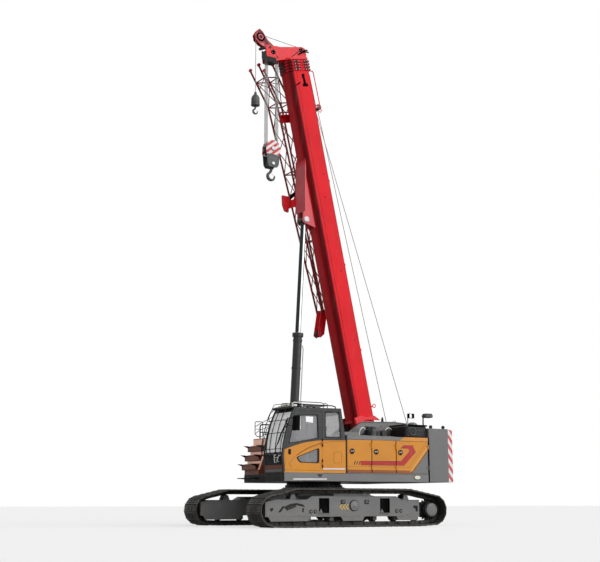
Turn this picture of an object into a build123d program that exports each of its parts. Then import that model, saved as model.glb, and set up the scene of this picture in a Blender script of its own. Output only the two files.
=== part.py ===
from build123d import *
import os
from math import atan2, cos, degrees, hypot, pi, radians, sin

# Telescopic crawler crane, boom raised, lattice jib stowed on the boom's right side.
# Millimetres. X forward, Y to the cab side (left), Z up.
# The origin is on the ground, on the axis about which the upper part slews.

os.makedirs("parts", exist_ok=True)

SEAT = 0.4                     # air between two pieces that rest on each other
RUN = 5                        # air between a moving piece and its frame

# Tracks
track_length = 5570
track_top = 950
track_y = 1740                 # centre line of each track
shoe_width = 720
shoe_pitch = 190
shoe_plate = 20
grouser_height = 25
link_height = 90
link_thick = 42
link_gap = 100                 # free width between the two link rails
belt_chord_turn = 20           # degrees of bend for each chord of the rails
wheel_radius = 255             # idler and sprocket, at the link rails
idler_lift = 15
sprocket_lift = 25
roller_radius = 75
carrier_radius = 60
roller_reach = 1950            # outermost bottom rollers, fore and aft
roller_count = 7
carrier_front_x = 1750
carrier_rear_x = -1620

# Track side frames
frame_half_width = 210
frame_bottom = 260
frame_low_top = 668
frame_high_top = 755
frame_front_x = 2560
frame_rear_x = -1990
frame_rise_front_x = 1400
frame_rise_rear_x = -1420
frame_rise_run = 150
window_width = 300
window_bottom = 345
window_top = 705
beam_x = 910                   # cross beams, fore and aft of the slew axis
beam_width = 250

# Carbody and slewing ring
carbody_half_length = 1080
carbody_half_width = 800
carbody_top = 890
pedestal_top = 980
pedestal_radius = 830
ring_outer = 760
ring_inner = 560
ring_split = 1045
ring_sides = 36
upper_bottom = 1118            # underside of the upper's deck

# Upper deck
deck_top = 1330
deck_half_width = 1505
deck_front_x = 1270
deck_cab_front_x = 1780
deck_rear_x = -2690
hook_bay_x = 1115              # recess in the deck's front edge, where the hook block comes down
hook_bay_half_width = 300
deck_plate = 30

# Cab
cab_inner_y = 540
cab_outer_y = 1500
cab_rear_x = -30
cab_wall = 45
cab_floor = deck_top + SEAT
cab_roof_front = (1475, 2940)
cab_roof_rear = (100, 2960)
cab_waist_rear_z = 2170
cab_front_mid = (1734, 2290)
cab_front_low = (1826, 1750)
cab_foot_front_x = 1790
glass_thick = 8
door_rear_x = 670
door_bottom = 1385
door_top = 2865
door_inset = 55

# Hoods, tank and counterweight
hood_front_x = -80
hood_inner_y = 510
hood_outer_y = 1500
hood_top = 2290
hood_wall = 30
service_door_thick = 28
service_door_bottom = 1352
service_door_top = 2188
weight_front_x = deck_rear_x - SEAT
weight_side_rear_x = -3344
weight_rear_x = -3850
weight_bottom = 1140
weight_top = 2550
weight_chamfer_y = 450
knuckle_length = 64
knuckle_radius = 12
door_knuckle_radius = 15
service_hinge_heights = (1500, 2040)
cab_hinge_heights = (1560, 2080)
tank_front_x = 900
tank_inner_y = 640
tank_top = 2280

# Centre frame
plate_y = 380                  # inner face of each centre plate
plate_thick = 36
pivot_x = -1750                # boom foot pin
pivot_z = 2350
cylinder_foot_x = 690          # foot pin of the luffing cylinder
cylinder_foot_z = 1550

# Boom, in its own axes: s along the boom from the foot pin, n towards its underside
boom_angle = 77.87
boom_width = 560
boom_back = -135
boom_front = 525
boom_corner = 170
boom_back_corner = 25
boom_wall = 10
section_step = 26              # each section is smaller by this on every side
section_count = 5
base_start = 480
base_end = 10360
collar_length = 56
collar_pitch = 80
collar_proud = 24
head_length = 390
foot_pin_radius = 70

# Luffing cylinder
rod_eye_s = 6168
rod_eye_n = 781
barrel_radius = 118
gland_radius = 150
rod_radius = 76
eye_radius = 120
eye_half_width = 118
cylinder_pin_radius = 55
barrel_length = 3430
gland_length = 90

# Ropes, sheaves and hooks
rope_radius = 9
sheave_groove = 156            # radius at the bottom of the groove
sheave_rim = 188
sheave_width = 46
sheave_sides = 16
main_sheave_s = 10818
main_sheave_n = 841
main_fall_y = (-78, -26, 26, 78)
rooster_x = 1735
rooster_z = 13270
rooster_groove = 106
rooster_rim = 134
block_z = 10080                # sheave pin of the main hook block
aux_hook_z = 11650             # top of the auxiliary hook's weight

# Jib, stowed, in the boom's axes with y to the left
jib_chord_radius = 28
jib_brace_radius = 13
jib_bays = 9

boom_cos = cos(radians(boom_angle))
boom_sin = sin(radians(boom_angle))
along = Vector(boom_cos, 0, boom_sin)
below = Vector(boom_sin, 0, -boom_cos)
pivot = Vector(pivot_x, 0, pivot_z)
boom_side = Plane(origin=pivot, x_dir=along, z_dir=(0, 1, 0))


def boom_point(s, n, y=0):
    """A point given in the boom's own axes."""
    return pivot + along * s + below * n + Vector(0, y, 0)


def boom_cross(s):
    """The plane across the boom at s; its x is Y and its y points to the boom's back."""
    return Plane(origin=boom_point(s, 0), x_dir=(0, 1, 0), z_dir=along)


def side_plane(y):
    """The X-Z plane at y, facing -Y."""
    return Plane(origin=(0, y, 0), x_dir=(1, 0, 0), z_dir=(0, -1, 0))


def save(builder, name):
    builder.part.label = name
    export_step(builder.part, f"parts/{name}.step")


def prism(start, direction, radius, length, sides):
    """A bar with flat faces; radius is to its corners."""
    with BuildPart() as bar:
        with BuildSketch(Plane(origin=start, z_dir=direction)):
            RegularPolygon(radius, sides)
        extrude(amount=length)
    return bar.part


def crossbar(x, y, z, radius, width, sides=12):
    """A prism along Y with its middle at x, y, z."""
    return prism((x, y - width / 2, z), (0, 1, 0), radius, width, sides)


def post(x, y, low, high, radius, sides=8):
    """An upright prism."""
    return prism((x, y, low), (0, 0, 1), radius, high - low, sides)


def strut(a, b, radius, sides=6):
    """A bar from a to b."""
    return prism(a, (b - a).normalized(), radius, (b - a).length, sides)


# Running gear

link_top = link_height + shoe_plate
belt_radius = wheel_radius + link_top + grouser_height
idler_x = track_length / 2 - belt_radius
sprocket_x = -idler_x
rail_low = link_top + grouser_height
idler_z = rail_low + wheel_radius + idler_lift
sprocket_z = rail_low + wheel_radius + sprocket_lift
roller_z = rail_low + roller_radius
carrier_z = track_top - link_top - grouser_height - carrier_radius

# Wheels that the chain runs round, seen from the left, anticlockwise in X-Z:
# x, z, radius at the link rail
belt_wheels = [
    (-roller_reach, roller_z, roller_radius),
    (roller_reach, roller_z, roller_radius),
    (idler_x, idler_z, wheel_radius),
    (carrier_front_x, carrier_z, carrier_radius),
    (carrier_rear_x, carrier_z, carrier_radius),
    (sprocket_x, sprocket_z, wheel_radius),
]


def belt_spans(offset):
    """Straight spans of the chain at a height above the rails: start, end of each."""
    spans = []
    count = len(belt_wheels)
    for i in range(count):
        x0, z0, r0 = belt_wheels[i]
        x1, z1, r1 = belt_wheels[(i + 1) % count]
        length = hypot(x1 - x0, z1 - z0)
        ux = (x1 - x0) / length
        uz = (z1 - z0) / length
        lean = (r0 - r1) / length
        rise = (1 - lean * lean) ** 0.5
        nx = ux * lean + uz * rise
        nz = uz * lean - ux * rise
        start = Vector(x0 + nx * (r0 + offset), z0 + nz * (r0 + offset))
        end = Vector(x1 + nx * (r1 + offset), z1 + nz * (r1 + offset))
        spans.append((start, end, Vector(nx, nz)))
    return spans


def belt_corners(offset):
    """The closed chain line at a height above the rails, with short chords for its bends."""
    spans = belt_spans(offset)
    corners = []
    for i, (_, _, normal) in enumerate(spans):
        next_normal = spans[(i + 1) % len(spans)][2]
        x, z, radius = belt_wheels[(i + 1) % len(spans)]
        turn = degrees(atan2(next_normal.Y, next_normal.X) - atan2(normal.Y, normal.X)) % 360
        chords = max(1, round(turn / belt_chord_turn))
        step = turn / chords
        for k in range(chords):
            reach = (radius + offset) / cos(radians(step / 2))
            outward = normal.rotate(Axis.Z, step * (k + 0.5)) * reach
            corners.append((x + outward.X, z + outward.Y))
    return corners


def belt_places(offset, pitch):
    """Evenly spaced places on the chain line: point and outward normal of each."""
    spans = belt_spans(offset)
    pieces = []
    for i, (start, end, normal) in enumerate(spans):
        next_normal = spans[(i + 1) % len(spans)][2]
        x, z, radius = belt_wheels[(i + 1) % len(spans)]
        turn = degrees(atan2(next_normal.Y, next_normal.X) - atan2(normal.Y, normal.X)) % 360
        pieces.append(("line", (end - start).length, start, end, normal))
        pieces.append(("arc", radians(turn) * (radius + offset), Vector(x, z), radius + offset, normal))
    total = sum(piece[1] for piece in pieces)
    count = round(total / pitch)
    places = []
    for k in range(count):
        rest = (k + 0.5) * total / count
        for kind, length, a, b, normal in pieces:
            if rest <= length:
                break
            rest -= length
        if kind == "line":
            places.append((a + (b - a) * (rest / length), normal))
        else:
            outward = normal.rotate(Axis.Z, degrees(rest / b))
            places.append((a + outward * b, outward))
    return places, total / count


# One shoe's outer outline: place along the shoe as a share of the pitch, height
shoe_outline = [
    (-0.44, grouser_height),
    (-0.32, 2),
    (0.44, 2),
    (0.47, -12),
]


def make_track(y):
    places, pitch = belt_places(link_top, shoe_pitch)
    outline = []
    for point, normal in places:
        forward = Vector(-normal.Y, normal.X)
        for share, height in shoe_outline:
            corner = point + forward * (share * pitch) + normal * height
            outline.append((corner.X, max(corner.Y, 0)))
    with BuildPart() as track:
        with BuildSketch(side_plane(y)):
            with BuildLine():
                Polyline(*outline, close=True)
            make_face()
            with BuildLine():
                Polyline(*belt_corners(link_height), close=True)
            make_face(mode=Mode.SUBTRACT)
        extrude(amount=shoe_width / 2, both=True)
        for side in (-1, 1):
            with BuildSketch(side_plane(y + side * (link_gap + link_thick) / 2)):
                with BuildLine():
                    Polyline(*belt_corners(link_height + 1), close=True)
                make_face()
                with BuildLine():
                    Polyline(*belt_corners(SEAT + 1), close=True)
                make_face(mode=Mode.SUBTRACT)
            extrude(amount=link_thick / 2, both=True)
    return track


def make_track_frame(y):
    rise_front = frame_rise_front_x - frame_rise_run
    rise_rear = frame_rise_rear_x + frame_rise_run
    with BuildPart() as frame:
        with BuildSketch(side_plane(y)):
            with BuildLine():
                Polyline(
                    (frame_front_x, frame_bottom),
                    (frame_front_x, frame_low_top - 60),
                    (frame_front_x - 260, frame_low_top),
                    (frame_rise_front_x, frame_low_top),
                    (rise_front, frame_high_top),
                    (rise_rear, frame_high_top),
                    (frame_rise_rear_x, frame_low_top),
                    (frame_rear_x, frame_low_top),
                    (frame_rear_x, frame_bottom),
                    close=True,
                )
            make_face()
            with Locations((beam_x, (window_bottom + window_top) / 2), (-beam_x, (window_bottom + window_top) / 2)):
                Rectangle(window_width, window_top - window_bottom, mode=Mode.SUBTRACT)
        extrude(amount=frame_half_width, both=True)
        # fork round the idler and channel over the rollers
        fork_start = idler_x - wheel_radius - 60
        with Locations(((fork_start + frame_front_x + 50) / 2, y, idler_z)):
            Box(frame_front_x + 50 - fork_start, link_gap + 2 * link_thick + 26, 2 * wheel_radius + 200,
                mode=Mode.SUBTRACT)
        channel_top = roller_z + roller_radius + 12
        with Locations((0, y, (frame_bottom + channel_top) / 2 - 10)):
            Box(2 * roller_reach + 60 + 2 * roller_radius, 300, channel_top - frame_bottom + 20, mode=Mode.SUBTRACT)
        # hangers of the roller shafts
        for x in roller_places:
            for side in (-1, 1):
                with Locations((x, y + side * (roller_hanger_y + 16), (roller_z - 42 + channel_top) / 2)):
                    Box(96, 32, channel_top - roller_z + 42)
        # guards beside the rollers, front, middle and rear
        for x0, x1 in ((1300, 2480), (-290, 420), (-1960, -1260)):
            for side in (-1, 1):
                with BuildSketch(side_plane(y + side * (frame_half_width - 12))):
                    with BuildLine():
                        Polyline((x0, frame_bottom), (x0 + 70, rail_low + 20), (x1 - 70, rail_low + 20),
                                 (x1, frame_bottom), close=True)
                    make_face()
                extrude(amount=12, both=True)
        # upstands of the carrier rollers
        for x in (carrier_front_x, carrier_rear_x):
            for side in (-1, 1):
                with BuildSketch(side_plane(y + side * (carrier_stand_y + 15))):
                    with BuildLine():
                        Polyline((x - 95, frame_low_top - 5), (x - 45, carrier_z + 40), (x + 45, carrier_z + 40),
                                 (x + 95, frame_low_top - 5), close=True)
                    make_face()
                extrude(amount=15, both=True)
        # skid under the middle of the chain's upper run
        skid_top = carrier_z + carrier_radius - SEAT
        with Locations((0, y, (frame_high_top + skid_top) / 2)):
            Box(1100, link_gap + 2 * link_thick, skid_top - frame_high_top)
        # round cover and two lifting eyes on the outer side
        outer = 1 if y > 0 else -1
        add(crossbar(30, y + outer * frame_half_width, 525, 102, 24, 20))
        with Locations((350, y + outer * (frame_half_width + 10), 618), (-350, y + outer * (frame_half_width + 10), 618)):
            Box(70, 26, 60)
        # plate that carries the final drive
        drive_y = y - outer * (frame_half_width - 20)
        with BuildSketch(side_plane(drive_y)):
            with BuildLine():
                Polyline((frame_rear_x + 5, frame_bottom + 30), (frame_rear_x + 5, frame_low_top - 20),
                         (sprocket_x + 40, sprocket_z + 190), (sprocket_x + 40, sprocket_z - 190), close=True)
            make_face()
            with Locations((sprocket_x, sprocket_z)):
                RegularPolygon(205, 16)
        extrude(amount=20, both=True)
    return frame


def make_sprocket(y, outer):
    teeth = 18
    tip = wheel_radius + 30
    root = wheel_radius - 22
    with BuildPart() as sprocket:
        with BuildSketch(side_plane(y)):
            with BuildLine():
                points = []
                for k in range(teeth):
                    for share, radius in ((-0.28, root), (-0.12, tip), (0.12, tip), (0.28, root)):
                        angle = 2 * pi * (k + share) / teeth
                        points.append((sprocket_x + radius * cos(angle), sprocket_z + radius * sin(angle)))
                Polyline(*points, close=True)
            make_face()
        extrude(amount=28, both=True)
        # final drive, wider than the wheel on both sides, with its round cover outside
        reach_in = frame_half_width - 40 - SEAT
        # distance from the wheel's middle plane, length, radius of each step of the drive
        for start, length, radius in ((-reach_in, reach_in, 165), (0, 120, 205), (120, 110, 172)):
            add(prism((sprocket_x, y + outer * start, sprocket_z), (0, outer, 0), radius, length, 16))
    return sprocket


def make_track_wheels(y):
    """Idler, bottom rollers and carrier rollers, which don't touch each other."""
    width = link_gap + 2 * link_thick
    with BuildPart() as wheels:
        add(crossbar(idler_x, y, idler_z, wheel_radius + 22, link_gap - 12, 18))
        add(crossbar(idler_x, y, idler_z, wheel_radius - SEAT, width, 18))
        add(crossbar(idler_x, y, idler_z, 62, width + 26 - 2 * SEAT, 8))
        for x in roller_places:
            add(crossbar(x, y, roller_z, roller_radius - SEAT, width, 10))
            add(crossbar(x, y, roller_z, 34, 2 * (roller_hanger_y - SEAT), 6))
        for x in (carrier_front_x, carrier_rear_x):
            add(crossbar(x, y, carrier_z, carrier_radius - SEAT, width, 10))
            add(crossbar(x, y, carrier_z, 26, 2 * (carrier_stand_y - SEAT), 6))
    return wheels


roller_step = 2 * roller_reach / (roller_count - 1)
roller_places = [-roller_reach + k * roller_step for k in range(roller_count)]
roller_hanger_y = 112
carrier_stand_y = 104

for name, left in (
    ("track", make_track(track_y)),
    ("track_frame", make_track_frame(track_y)),
    ("sprocket", make_sprocket(track_y, 1)),
    ("track_wheels", make_track_wheels(track_y)),
):
    save(left, f"{name}_left")
    with BuildPart() as right:
        mirror(left.part, about=Plane.XZ)
    save(right, f"{name}_right")

with BuildPart() as carbody:
    beam_low = window_bottom + SEAT
    beam_high = window_top - 8
    with Locations((beam_x, 0, (beam_low + beam_high) / 2), (-beam_x, 0, (beam_low + beam_high) / 2)):
        Box(beam_width, 2 * (track_y + frame_half_width - 60), beam_high - beam_low)
    with BuildSketch(Plane.XY.offset(beam_low)):
        Rectangle(2 * carbody_half_length, 2 * carbody_half_width - 160)
    with BuildSketch(Plane.XY.offset(beam_high)):
        Rectangle(2 * carbody_half_length, 2 * carbody_half_width)
    loft()
    with BuildSketch(Plane.XY.offset(beam_high)):
        Rectangle(2 * carbody_half_length, 2 * carbody_half_width)
    with BuildSketch(Plane.XY.offset(carbody_top)):
        Rectangle(2 * carbody_half_length - 420, 2 * carbody_half_width - 260)
    loft()
    add(post(0, 0, carbody_top - 60, pedestal_top, pedestal_radius, ring_sides))
    add(post(0, 0, pedestal_top - 180, pedestal_top + 1, ring_inner - 60, ring_sides), mode=Mode.SUBTRACT)
save(carbody, "carbody")

with BuildPart() as slew_ring_lower:
    with BuildSketch(Plane.XY.offset(pedestal_top + SEAT)):
        RegularPolygon(ring_outer, ring_sides)
        RegularPolygon(ring_inner, ring_sides, mode=Mode.SUBTRACT)
    extrude(amount=ring_split - pedestal_top - SEAT)
save(slew_ring_lower, "slew_ring_lower")

with BuildPart() as slew_ring_upper:
    with BuildSketch(Plane.XY.offset(ring_split + SEAT)):
        RegularPolygon(ring_outer - 40, ring_sides)
        RegularPolygon(ring_inner + 40, ring_sides, mode=Mode.SUBTRACT)
    extrude(amount=upper_bottom - ring_split - 2 * SEAT)
save(slew_ring_upper, "slew_ring_upper")

# Upper: deck, centre plates, hoods, tank, counterweight

with BuildPart() as deck:
    with BuildSketch(Plane.XY.offset(upper_bottom)):
        with BuildLine():
            Polyline(
                (deck_rear_x, -deck_half_width),
                (deck_front_x, -deck_half_width),
                (deck_front_x, -hook_bay_half_width),
                (hook_bay_x, -hook_bay_half_width),
                (hook_bay_x, hook_bay_half_width),
                (deck_front_x, hook_bay_half_width),
                (deck_front_x, cab_inner_y - 20),
                (deck_cab_front_x, cab_inner_y - 20),
                (deck_cab_front_x, deck_half_width),
                (deck_rear_x, deck_half_width),
                close=True,
            )
        make_face()
    extrude(amount=deck_top - upper_bottom)
    # open bays between the ribs, seen from below: centre x, centre y, length, width
    bays = [
        (-1780, 1000, 1700, 900),
        (-1780, -1000, 1700, 900),
        (-1780, 0, 1500, 820),
        (-140, 1160, 1380, 620),
        (-140, -1160, 1380, 620),
        (1160, 1020, 1060, 900),
        (935, -1020, 560, 900),
    ]
    for x, y, length, width in bays:
        with Locations((x, y, (upper_bottom + deck_top - deck_plate) / 2 - 5)):
            Box(length, width, deck_top - deck_plate - upper_bottom + 10, mode=Mode.SUBTRACT)
save(deck, "deck")

with BuildPart() as centre_frame:
    for y in (plate_y + plate_thick / 2, -plate_y - plate_thick / 2):
        with BuildSketch(side_plane(y)):
            with BuildLine():
                Polyline(
                    (hook_bay_x, deck_top + SEAT),
                    (hook_bay_x, deck_top + 120),
                    (760, 1760),
                    (-80, 1850),
                    (-790, 2370),
                    (-1260, 2730),
                    (-2300, 2760),
                    (-2680, 2740),
                    (-2680, deck_top + SEAT),
                    close=True,
                )
            make_face()
            with Locations((-2050, 1750)):
                Rectangle(560, 340, mode=Mode.SUBTRACT)
        extrude(amount=plate_thick / 2, both=True)
    # cross plates between the two sides: x, bottom z, height, thickness
    for x, z, height, thick in ((-900, deck_top + SEAT, 330, 40), (-2100, deck_top + SEAT, 200, 40)):
        with Locations((x, 0, z + height / 2)):
            Box(thick, 2 * plate_y + 10, height)
    # bosses that carry the boom foot pin
    for side in (-1, 1):
        add(crossbar(pivot_x, side * (plate_y - 40), pivot_z, 150, 90, 16))
    with Locations(Plane(origin=(pivot_x, 0, pivot_z), z_dir=(0, 1, 0))):
        Cylinder(foot_pin_radius, 2 * plate_y)
    # lugs and pin of the luffing cylinder's foot
    for side in (-1, 1):
        with BuildSketch(side_plane(side * (eye_half_width + SEAT + 30))):
            with BuildLine():
                Polyline(
                    (cylinder_foot_x - 330, deck_top + SEAT),
                    (cylinder_foot_x - 110, cylinder_foot_z + 60),
                    (cylinder_foot_x + 110, cylinder_foot_z + 60),
                    (cylinder_foot_x + 260, deck_top + SEAT),
                    close=True,
                )
            make_face()
            with Locations((cylinder_foot_x, cylinder_foot_z)):
                RegularPolygon(128, 16)
        extrude(amount=30, both=True)
    with Locations(Plane(origin=(cylinder_foot_x, 0, cylinder_foot_z), z_dir=(0, 1, 0))):
        Cylinder(cylinder_pin_radius, 2 * eye_half_width + 2)
    foot_plate_rear_x = cylinder_foot_x - 360
    with Locations(((foot_plate_rear_x + hook_bay_x) / 2, 0, deck_top + SEAT + 12)):
        Box(hook_bay_x - foot_plate_rear_x, 2 * plate_y + 10, 24)
save(centre_frame, "centre_frame")

# Winches between the centre plates: x, z, drum radius
winch_places = [(-2330, 2330, 190), (-2410, 1800, 170)]
with BuildPart() as winches:
    width = 2 * (plate_y - 30)
    for x, z, radius in winch_places:
        add(crossbar(x, 0, z, radius, width, 20))
        add(crossbar(x, 0, z, 90, 2 * (plate_y - SEAT)))
        for side in (-1, 1):
            add(crossbar(x, side * (width / 2 - 15), z, radius + 55, 30, 20))
save(winches, "winches")

def knuckles(x, y, radius, spans, leaf_x, skin_y):
    """Hinge knuckles on a vertical axis at x, y with a thin leaf that runs to leaf_x on the skin."""
    with BuildPart() as hinge:
        for low, high in spans:
            add(post(x, y, low, high, radius))
            with Locations(((x + leaf_x) / 2, skin_y + (2 if y > 0 else -2), (low + high) / 2)):
                Box(abs(x - leaf_x), 4, high - low)
    return hinge.part


def door_knuckles(x, y, radius, heights, leaf, skin_y):
    spans = [(z, z + knuckle_length) for z in heights]
    return knuckles(x, y, radius, spans, x + leaf, skin_y)


def frame_knuckles(x, y, radius, heights, leaf, skin_y):
    spans = [(z - knuckle_length, z - SEAT) for z in heights]
    return knuckles(x, y, radius, spans, x - leaf, skin_y)


# Left hood: three door openings along the outer side. Right hood: two.
left_doors = [(-100, -832), (-850, -1606), (-1624, -2668)]
right_doors = [(-130, -1290), (-1310, -2668)]


def make_hood(outer, openings):
    depth = hood_outer_y - hood_inner_y
    with BuildPart() as hood:
        with Locations(((hood_front_x + deck_rear_x) / 2, outer * (hood_inner_y + hood_outer_y) / 2,
                        (deck_top + SEAT + hood_top) / 2)):
            Box(hood_front_x - deck_rear_x, depth, hood_top - deck_top - SEAT)
            Box(hood_front_x - deck_rear_x - 2 * hood_wall, depth - 2 * hood_wall,
                hood_top - deck_top - SEAT - 2 * hood_wall, mode=Mode.SUBTRACT)
        for x0, x1 in openings:
            with Locations(((x0 + x1) / 2, outer * (hood_outer_y - hood_wall / 2),
                            (service_door_bottom + service_door_top) / 2)):
                Box(x0 - x1, hood_wall + 2, service_door_top - service_door_bottom, mode=Mode.SUBTRACT)
            add(frame_knuckles(x1 + RUN / 2, outer * (hood_outer_y + knuckle_radius + SEAT), knuckle_radius,
                               service_hinge_heights, 14, outer * hood_outer_y))
    return hood


def make_service_door(outer, x0, x1):
    with BuildPart() as door:
        with Locations(((x0 + x1) / 2, outer * (hood_outer_y - service_door_thick / 2),
                        (service_door_bottom + service_door_top) / 2)):
            Box(x0 - x1 - 2 * RUN, service_door_thick, service_door_top - service_door_bottom - 2 * RUN)
        with Locations((x0 - 120, outer * (hood_outer_y + 6), 1890)):
            Box(90, 13, 90)
        add(door_knuckles(x1 + RUN / 2, outer * (hood_outer_y + knuckle_radius + SEAT), knuckle_radius,
                          service_hinge_heights, 60, outer * hood_outer_y))
    return door


save(make_hood(1, left_doors), "hood_left")
save(make_hood(-1, right_doors), "hood_right")
for k, (x0, x1) in enumerate(left_doors):
    save(make_service_door(1, x0, x1), f"service_door_left_{k + 1}")
for k, (x0, x1) in enumerate(right_doors):
    save(make_service_door(-1, x0, x1), f"service_door_right_{k + 1}")

with BuildPart() as air_housing:
    with Locations(((-1960 - 2680) / 2, 1090, (hood_top + SEAT + 2600) / 2)):
        Box(720, 700, 2600 - hood_top - SEAT)
    fillet(air_housing.edges().filter_by(Axis.Y).group_by(Axis.Z)[-1], 60)
save(air_housing, "air_housing")

with BuildPart() as engine:
    with Locations((-1800, 960, deck_top + hood_wall + 2 * SEAT + 360)):
        Box(1300, 700, 720)
save(engine, "engine")

with BuildPart() as counterweight:
    with BuildSketch(Plane.XY.offset(weight_bottom)):
        with BuildLine():
            Polyline(
                (weight_front_x, -deck_half_width),
                (weight_front_x, deck_half_width),
                (weight_side_rear_x, deck_half_width),
                (weight_rear_x, deck_half_width - weight_chamfer_y),
                (weight_rear_x, weight_chamfer_y - deck_half_width),
                (weight_side_rear_x, -deck_half_width),
                close=True,
            )
        make_face()
    extrude(amount=weight_top - weight_bottom)
    chamfer(counterweight.faces().sort_by(Axis.X)[0].edges().filter_by(Axis.Y), 40)
    # lifting eyes on the top
    for x, y in ((-2860, 1380), (-3280, 1380), (-2860, -1380), (-3280, -1380)):
        with Locations((x, y, weight_top + 30)):
            Box(70, 36, 80)
save(counterweight, "counterweight")

with BuildPart() as tank:
    with Locations(((tank_front_x + hood_front_x + SEAT) / 2, -(tank_inner_y + deck_half_width) / 2,
                    (deck_top + SEAT + tank_top) / 2)):
        Box(tank_front_x - hood_front_x - SEAT, deck_half_width - tank_inner_y, tank_top - deck_top - SEAT)
    fillet(tank.edges().filter_by(Axis.Y).group_by(Axis.Z)[-1], 40)
    add(post(200, -1080, tank_top - 10, tank_top + 50, 75, 12))
save(tank, "tank")

# Front steps on the right: x of the front edge, z of the tread
step_y0 = -1500
step_y1 = -720
step_treads = [(1270, 1600), (1180, 1840), (1090, 2090), (1000, 2280)]
with BuildPart() as step_box:
    with BuildSketch(side_plane((step_y0 + step_y1) / 2)):
        with BuildLine():
            points = [(tank_front_x + SEAT, deck_top + SEAT), (step_treads[0][0], deck_top + SEAT)]
            for k, (x, z) in enumerate(step_treads):
                back = step_treads[k + 1][0] if k + 1 < len(step_treads) else tank_front_x + SEAT
                points.append((x, z))
                points.append((back, z))
            Polyline(*points, close=True)
        make_face()
    extrude(amount=(step_y1 - step_y0) / 2, both=True)
    for x, z in step_treads[:3]:
        with Locations((x + 35, step_y0 + 250, z - 8)):
            Box(76, 420, 16)
save(step_box, "step_box")

# Cab

def cab_outline(inset):
    """The cab's side outline in X-Z, moved inwards by inset."""
    with BuildSketch(Plane.XY) as outline:
        with BuildLine():
            Polyline(
                cab_roof_front,
                cab_roof_rear,
                (cab_rear_x, cab_waist_rear_z),
                (cab_rear_x, cab_floor),
                (cab_foot_front_x, cab_floor),
                cab_front_low,
            )
            ThreePointArc(cab_front_low, cab_front_mid, cab_roof_front)
        make_face()
        if inset:
            offset(amount=-inset, kind=Kind.INTERSECTION)
    return outline.sketch


cab_skin = cab_outline(0)
cab_room = cab_outline(cab_wall)
door_field = cab_outline(door_inset)
cab_mid_y = (cab_inner_y + cab_outer_y) / 2
cab_hinge_x = door_rear_x + RUN / 2
cab_hinge_y = cab_outer_y + door_knuckle_radius

# Windows in the cab's sides: corners in X-Z
rear_side_window = [(590, 2205), (590, 2870), (150, 2880), (100, 2205)]
door_window = [(1655, 2030), (1490, 2750), (800, 2780), (770, 2180)]
door_low_window = [(1416, 1700), (777, 1930), (777, 1580), (1330, 1590)]
inner_side_window = [(1600, 1900), (1430, 2840), (150, 2850), (90, 1950)]


def polygon(points, inset=0):
    """A flat shape with straight sides, moved inwards by inset."""
    with BuildSketch(Plane.XY) as shape:
        with BuildLine():
            Polyline(*points, close=True)
        make_face()
        if inset:
            offset(amount=-inset, kind=Kind.INTERSECTION)
    return shape.sketch


with BuildPart() as cab_shell:
    with BuildSketch(side_plane(cab_mid_y)):
        add(cab_skin)
    extrude(amount=(cab_outer_y - cab_inner_y) / 2, both=True)
    with BuildSketch(side_plane(cab_mid_y)):
        add(cab_room)
    extrude(amount=(cab_outer_y - cab_inner_y) / 2 - cab_wall, both=True, mode=Mode.SUBTRACT)
    # doorway
    with BuildSketch(side_plane(cab_outer_y)):
        add(door_field)
        with Locations(((door_rear_x + 2000) / 2, (door_bottom + door_top) / 2)):
            Rectangle(2000 - door_rear_x, door_top - door_bottom, mode=Mode.INTERSECT)
    extrude(amount=cab_wall + 2, both=True, mode=Mode.SUBTRACT)
    # windows in both sides
    with BuildSketch(side_plane(cab_outer_y)):
        add(polygon(rear_side_window))
    extrude(amount=cab_wall + 2, both=True, mode=Mode.SUBTRACT)
    with BuildSketch(side_plane(cab_inner_y)):
        add(polygon(inner_side_window))
    extrude(amount=cab_wall + 2, both=True, mode=Mode.SUBTRACT)
    # windscreen, rear window and roof window
    with Locations((1700, cab_mid_y, 2330)):
        Box(500, cab_outer_y - cab_inner_y - 2 * cab_wall - 20, 1000, mode=Mode.SUBTRACT)
    with Locations((0, cab_mid_y, 2520)):
        Box(300, cab_outer_y - cab_inner_y - 220, 560, mode=Mode.SUBTRACT)
    with Locations((900, cab_mid_y, 2950)):
        Box(620, cab_outer_y - cab_inner_y - 260, 120, mode=Mode.SUBTRACT)
    add(frame_knuckles(cab_hinge_x, cab_hinge_y, door_knuckle_radius - SEAT, cab_hinge_heights, 60, cab_outer_y))
save(cab_shell, "cab_shell")

with BuildPart() as cab_door:
    with BuildSketch(side_plane(cab_outer_y - cab_wall / 2)):
        add(door_field)
        with Locations(((door_rear_x + 2000) / 2, (door_bottom + door_top) / 2)):
            Rectangle(2000 - door_rear_x, door_top - door_bottom, mode=Mode.INTERSECT)
        offset(amount=-RUN, kind=Kind.INTERSECTION)
        add(polygon(door_window), mode=Mode.SUBTRACT)
        add(polygon(door_low_window), mode=Mode.SUBTRACT)
    extrude(amount=cab_wall / 2, both=True)
    add(door_knuckles(cab_hinge_x, cab_hinge_y, door_knuckle_radius - SEAT, cab_hinge_heights, 70, cab_outer_y))
save(cab_door, "cab_door")

with BuildPart() as door_glass:
    for points in (door_window, door_low_window):
        with BuildSketch(side_plane(cab_outer_y - cab_wall / 2)):
            add(polygon(points, SEAT))
        extrude(amount=glass_thick / 2, both=True)
save(door_glass, "door_glass")

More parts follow.
